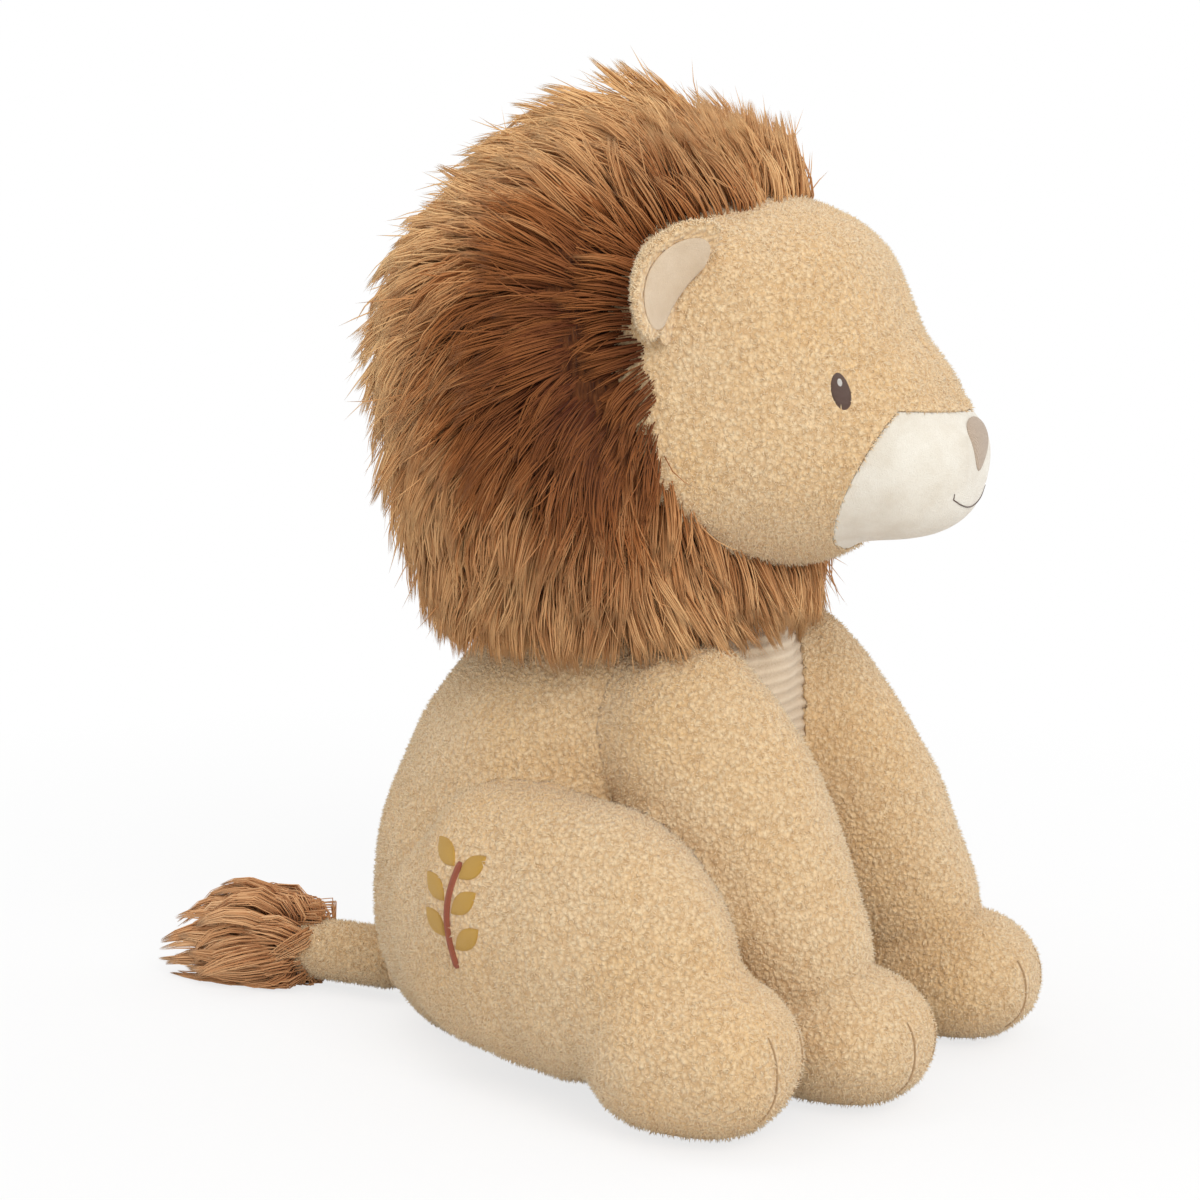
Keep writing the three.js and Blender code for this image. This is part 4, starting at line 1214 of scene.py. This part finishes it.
mane = {
    "wide": 334, "deep": 312, "low": 225, "tall": 363, "y": -74, "fullness": 3.2,
    "stations": [(-0.05, 0, 0.87, 0.93), (-0.02, 0.2, 0.9, 0.92), (0, 0.4, 0.985, 0.99),
                 (0.005, 0.6, 1, 1), (0.02, 0.8, 0.88, 0.9), (0.04, 1, 0.46, 0.5)],
    "hairline": {"y": -121, "z": 285, "tall": 262, "deep": 120,
                 "shares": [(1, 0), (0.72, 0.05), (0.44, 0.14), (0.29, 0.27), (0.2, 0.42), (0.05, 0.56),
                            (0, 0.72), (0.1, 0.82), (0.36, 0.9), (0.5, 1)]},
    "centre": (0, -95, 405), "face": (0, -150, 400), "cover": 21, "swell": 36, "lowest": 290, "collarLow": 276,
    "neckClear": 66, "earLead": 15, "topLead": 17, "strands": 39000, "perPiece": 6500, "locks": 2800,
    "tufts": 420, "steps": 5, "length": 57, "hem": 262, "radius": 0.44, "clump": 0.86, "draw": 0.3, "loose": 0.06,
    "seed": 11, "shade": (-112, 436),
}


def hairlineDistance(points):
    # how far behind the hairline a point lies in the side view; negative on the face
    line = mane["hairline"]
    raw = [Vector((line["y"] - out * line["deep"], line["z"] + up * line["tall"], 0)) for out, up in line["shares"]]
    curve = np.array([splinePoint(raw, k / 80)[:2] for k in range(81)]) * mm
    flat = points[:, 1:3]
    best = np.full(len(points), 1.0)
    for start, end in zip(curve[:-1], curve[1:]):
        run = end - start
        share = np.clip(((flat - start) @ run) / (run @ run), 0, 1)
        best = np.minimum(best, np.linalg.norm(flat - start - share[:, None] * run, axis=1))
    edgeY = np.interp(points[:, 2], curve[:, 1], curve[:, 0])
    behind = (points[:, 1] > edgeY) | (points[:, 2] < curve[0, 1])
    return np.where(behind, best, -best)


def makeManeShadeGround():
    stations = [((0, mane["y"] + back * mane["deep"], mane["low"] + up * mane["tall"]),
                 wide * mane["wide"] / 2, deep * mane["deep"] / 2) for back, up, wide, deep in mane["stations"]]
    outer = formTree("mane_form", [(stations, mane["fullness"])])
    centre = Vector(mane["centre"]) * mm
    bm = bmesh.new()
    bmesh.ops.create_uvsphere(bm, u_segments=150, v_segments=110, radius=1)
    rays = [v.co.normalized() for v in bm.verts]
    reachHead = np.array([(headTree.ray_cast(centre, ray)[0] - centre).length for ray in rays])
    reachOuter = np.array([(outer.ray_cast(centre, ray)[0] - centre).length for ray in rays])
    rays = np.array(rays)
    onHead = np.array(centre) + rays * reachHead[:, None]
    behind = hairlineDistance(onHead) / mm
    fromDown = np.degrees(np.arccos(np.clip(-rays[:, 2], -1, 1)))
    share = smoothStep(0, mane["swell"], behind) * smoothStep(30, 42, fromDown)
    thick = np.maximum(reachOuter - reachHead - mane["cover"] * mm, 2 * mm)
    reach = reachHead - 3 * mm * (1 - share) + thick * share
    # underneath, the ground stops above the shoulders
    floorZ = mane["lowest"] + (mane["collarLow"] - mane["lowest"]) * smoothStep(40, 60, fromDown)
    drop = np.maximum(-rays[:, 2], 1e-6)
    reach = np.where(rays[:, 2] < 0, np.minimum(reach, (centre.z - floorZ * mm) / drop), reach)
    reach = np.where(behind < 0, np.minimum(reach, reachHead - 4 * mm), reach)
    for vert, ray, far in zip(bm.verts, rays, reach):
        vert.co = centre + Vector(ray) * far
    bmesh.ops.recalc_face_normals(bm, faces=bm.faces)
    # the ground is painted dark as the shade inside the mane
    ground = pieceFrom("mane_shade_ground", bm, furShadeGround)
    softened(ground, smoothStep(6, 20, behind), 4)
    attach(ground, "head")
    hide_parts("mane")
    return ground


def maneNormal(points):
    # the way out through the fur: round the crown, level at the skirt that hangs below the cheeks
    middle = np.array([0, mane["y"], 408]) * mm
    half = np.array([162, 152, 178]) * mm
    normal = unit((points - middle) / half ** 2)
    normal[:, 2] = np.maximum(normal[:, 2], -0.22)
    return unit(normal)


def combAt(points):
    # away from the face, back over the crown, and falling more and more below it
    face = np.array(mane["face"]) * mm
    away = points - face
    away[:, 0] = 0
    away = unit(away)
    z = points[:, 2] / mm
    high = smoothStep(430, 545, z)[:, None]
    low = 1 - smoothStep(290, 400, z)[:, None]
    fall = np.array([0, 0, -1]) * (1.15 * (1 - high) + 0.7 * low)
    fall = fall + np.array([0, -1, 0]) * 1.7 * low * smoothStep(-115, -165, points[:, 1] / mm)[:, None]
    back = np.array([0, 1, 0]) * (0.15 + 0.8 * high) * (1 - low)
    normal = maneNormal(points)
    comb = away + fall + back
    return unit(comb - normal * np.sum(comb * normal, axis=1, keepdims=True))


def growPaths(roots, lift, droop, sway, length, steps):
    # hairs rise from their roots and lie over along the comb; lift holds the root and tip angles
    paths = [roots]
    place = roots
    step = length / (steps - 1)
    for k in range(1, steps):
        share = (k - 0.5) / (steps - 1)
        angle = (lift[:, 1] + (lift[:, 0] - lift[:, 1]) * (1 - share) ** 2)[:, None]
        run = combAt(place) + sway * (0.35 + 0.65 * share)
        turned = unit(run) * np.cos(angle) + maneNormal(place) * np.sin(angle)
        turned = unit(turned + np.array([0, 0, -1]) * droop[:, None] * share)
        place = place + turned * step[:, None]
        paths.append(place)
    return np.stack(paths, axis=1)


def grouped(roots, wanted, rng):
    # some of the roots lead a lock each, and every root joins the nearest
    centres = rng.choice(len(roots), wanted, replace=False)
    tree = KDTree(wanted)
    for k, at in enumerate(centres):
        tree.insert(roots[at], k)
    tree.balance()
    return centres, np.array([tree.find(root)[1] for root in roots])


def makeMane(ground):
    rng = np.random.default_rng(mane["seed"])
    middle, normal = facesOf(ground.data)
    area = np.zeros(len(ground.data.polygons))
    ground.data.polygons.foreach_get("area", area)
    behind = hairlineDistance(middle) / mm
    z = middle[:, 2] / mm
    behind += mane["earLead"] * smoothStep(385, 430, z) * (1 - smoothStep(474, 492, z))
    behind += mane["topLead"] * smoothStep(495, 515, z)
    fromShade = np.linalg.norm(middle[:, 1:] - np.array(mane["shade"]) * mm, axis=1) / mm
    ring = np.hypot(middle[:, 0], middle[:, 1] - neckBand["y"] * mm) / mm
    under = (z < 330) & (ring < mane["neckClear"])
    weight = area * (behind > 1) * ~under * (1 + 1.1 * (behind < 44))
    pick = rng.choice(len(middle), mane["strands"], p=weight / weight.sum())
    jitter = rng.uniform(-2.6, 2.6, (len(pick), 3)) * mm
    jitter -= normal[pick] * np.sum(jitter * normal[pick], axis=1, keepdims=True)
    roots = middle[pick] + jitter - normal[pick] * 1.5 * mm
    behind, fromShade, z = behind[pick], fromShade[pick], z[pick]
    count = len(roots)
    centres, lock = grouped(roots, mane["locks"], rng)
    leaders, group = grouped(roots, mane["tufts"], rng)
    crown = smoothStep(470, 530, z)
    edge = 1 - smoothStep(8, 40, behind)
    chin = (1 - smoothStep(300, 330, z)) * smoothStep(-110, -165, roots[:, 1] / mm)
    brow = crown * np.exp(-((behind - 28) / 20) ** 2)
    rootLift = 48 - edge * (1 - crown) * 9 + brow * 17 - crown * smoothStep(50, 90, behind) * 10
    tipLift = 6 + crown * 6 + brow * 20 + chin * 16
    lockLift = rng.uniform(0.7, 1.2, len(centres))[lock] * rng.uniform(0.85, 1.12, mane["tufts"])[group]
    ownLift = rng.uniform(0.88, 1.12, count)
    lift = np.radians(np.stack([rootLift * lockLift * ownLift, tipLift * ownLift], axis=1))
    droop = (1 - smoothStep(280, 400, z)) * 0.7 * (1 - chin) + rng.uniform(0, 0.1, count)
    free = rng.random(count) < mane["loose"]
    sway = rng.normal(0, 0.2, (mane["tufts"], 3))[group] + rng.normal(0, 0.17, (len(centres), 3))[lock]
    sway += rng.normal(0, 0.05, (count, 3)) * (1 + 6 * free)[:, None]
    length = mane["length"] * mm * rng.uniform(0.82, 1.1, count) * (1 - 0.22 * edge * (1 - crown))
    length *= 1 - 0.35 * crown * (1 - smoothStep(2, 16, behind))
    # the hem hangs no lower than the chest
    length = np.minimum(length, ((z - mane["hem"]) * 1.3 + 8 + chin * 16) * mm * rng.uniform(0.85, 1.1, count))
    steps = mane["steps"]
    paths = growPaths(roots, lift, droop, sway, length, steps)
    # hairs of a lock draw together towards its tip
    lead = paths[centres][lock]
    gather = np.linspace(0, 1, steps)[None, :, None] ** 1.4
    gather = gather * (mane["clump"] * rng.uniform(0.45, 1, count) * ~free)[:, None, None]
    paths = paths + (lead - paths) * gather
    drawn = np.linspace(0, 1, steps)[None, :, None] ** 2 * (mane["draw"] * ~free)[:, None, None]
    paths = paths + (paths[leaders][group] - paths) * drawn
    taper = np.array([1.0, 1.1, 1.0, 0.7, 0.0])
    radii = mane["radius"] * mm * taper[None, :] * rng.uniform(0.75, 1.25, (count, 1))
    tone = np.clip(rng.random(len(centres))[lock] * 0.65 + rng.random(count) * 0.35, 0, 1)
    # painted light and shade: hair is darkest by the ear, where it lies in shade, and palest far from it and high up
    pale = smoothStep(25, 135, fromShade) * (0.68 + 0.32 * smoothStep(300, 480, z)) * rng.uniform(0.8, 1.1, count)
    for k in range(0, count, mane["perPiece"]):
        part = slice(k, k + mane["perPiece"])
        piece = strandPiece(f"mane_fur_{k // mane['perPiece'] + 1}", paths[part], radii[part], furFinish,
                            tone=tone[part], pale=pale[part])
        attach(piece, "head")


maneShadeGround = makeManeShadeGround()
makeMane(maneShadeGround)
print("mane combed")


# Tail tuft

tuft = {"y": 162, "z": 31, "long": 104, "drop": 9, "strands": 4200, "locks": 150, "length": 68, "radius": 0.5,
        "seed": 5, "steps": 6, "clump": 0.85,
        "core": [(0, 20), (0.14, 19.5), (0.3, 16), (0.45, 11), (0.55, 6)]}


def makeTuft():
    rng = np.random.default_rng(tuft["seed"])
    stations = [((0, tuft["y"] + along * tuft["long"], tuft["z"] - 5 - along * tuft["drop"]), half, half)
                for along, half in tuft["core"]]
    # the core of the tuft is painted dark as the shade inside the fur
    core = formPiece("tail_tuft_shade_ground", [(stations, 5)])
    core.data.materials.append(furShadeGround)
    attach(core, "tail")
    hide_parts("tail_tuft")
    middle, normal = facesOf(core.data)
    area = np.zeros(len(core.data.polygons))
    core.data.polygons.foreach_get("area", area)
    pick = rng.choice(len(middle), tuft["strands"], p=area / area.sum())
    roots, out = middle[pick], normal[pick]
    count, steps = len(roots), tuft["steps"]
    centres, lock = grouped(roots, tuft["locks"], rng)
    length = tuft["length"] * mm * rng.uniform(0.75, 1.1, len(centres))[lock] * rng.uniform(0.9, 1.05, count)
    room = (tuft["y"] + tuft["long"] + 6) * mm - roots[:, 1]
    length = np.minimum(length, np.maximum(room, 12 * mm))
    sway = rng.normal(0, 0.2, (len(centres), 3))[lock] + rng.normal(0, 0.05, (count, 3))
    paths, place = [roots], roots
    for k in range(1, steps):
        share = (k - 0.5) / (steps - 1)
        run = out * 1.25 * (1 - share) ** 1.5 + np.array([0, 1, 0.12 - 0.62 * share]) * (0.5 + share)
        run = run + sway * (0.3 + share) - out * 0.5 * share
        place = place + unit(run) * (length / (steps - 1))[:, None]
        place[:, 2] = np.maximum(place[:, 2], 0.9 * mm)
        paths.append(place.copy())
    paths = np.stack(paths, axis=1)
    gather = np.linspace(0, 1, steps)[None, :, None] ** 1.3
    paths = paths + (paths[centres][lock] - paths) * gather * tuft["clump"]
    taper = np.array([1, 1.1, 1, 0.85, 0.55, 0])
    radii = tuft["radius"] * mm * taper[None, :] * rng.uniform(0.75, 1.2, (count, 1))
    tone = rng.random(len(centres))[lock] * 0.6 + rng.random(count) * 0.4
    piece = strandPiece("tail_tuft_fur", paths, radii, tuftFinish, tone=tone, pale=rng.uniform(0.1, 0.6, count))
    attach(piece, "tail")


makeTuft()


# Pile over the plush of body, legs, head, ears and tail, left off where stitching or another cloth lies

def showing(piece, trim, extra):
    # the faces from which pile grows: not the hems, nor under trim
    middle, normal = facesOf(piece.data)
    keep = (np.arange(len(middle)) < piece["shown"]) & (middle[:, 2] > 2.5 * mm) & extra(middle)
    for item in trim:
        places = placesOf(item.data)
        near = np.all((middle > places.min(axis=0) - 2 * mm) & (middle < places.max(axis=0) + 2 * mm), axis=1)
        tree = treeOf(item)
        for k in np.nonzero(keep & near)[0]:
            keep[k] = tree.find_nearest(Vector(middle[k]), 1.7 * mm)[0] is None
    return keep


def onFace(points):
    clear = np.min([lineDistance(points, line) for line in foreheadSeams], axis=0) > 1.3 * mm
    return clear & (hairlineDistance(points) < 16 * mm) & (points[:, 2] > 0.29)


for k, (name, piece) in enumerate(bodyPieces.items()):
    sowPile(f"{name}_pile", piece, showing(piece, stitched, lambda at: at[:, 2] < 0.286), "torso", 101 + k)
sowPile("head_pile", headSkin, showing(headSkin, [trim[0] for trim in faceTrim], onFace), "head", 120)
for side, word in sides:
    sowPile(f"ear_{word}_pile", earBacks[word], showing(earBacks[word], [], lambda at: onEarBack(at, side)),
            f"{word}_ear", 130 + side, 0.85)
sowPile("tail_pile", tailTube, showing(tailTube, [], lambda at: at[:, 1] < 0.17), "tail", 140)
print("pile sown")


# Fillings keep their CAD shapes, inside the skins

for name, node in frame["nodes"].items():
    if name.endswith("filling") or name == "seat_bead_bag":
        node.data.materials.clear()
        node.data.materials.append(bagFinish if name == "seat_bead_bag" else fibreFinish)

discard(whole, headShape)
bpy.data.objects.remove(strandProfile)
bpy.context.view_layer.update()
total = sum(len(piece.data.loop_triangles) for piece in bpy.data.objects if piece.type == "MESH")
print("triangles in all", total)
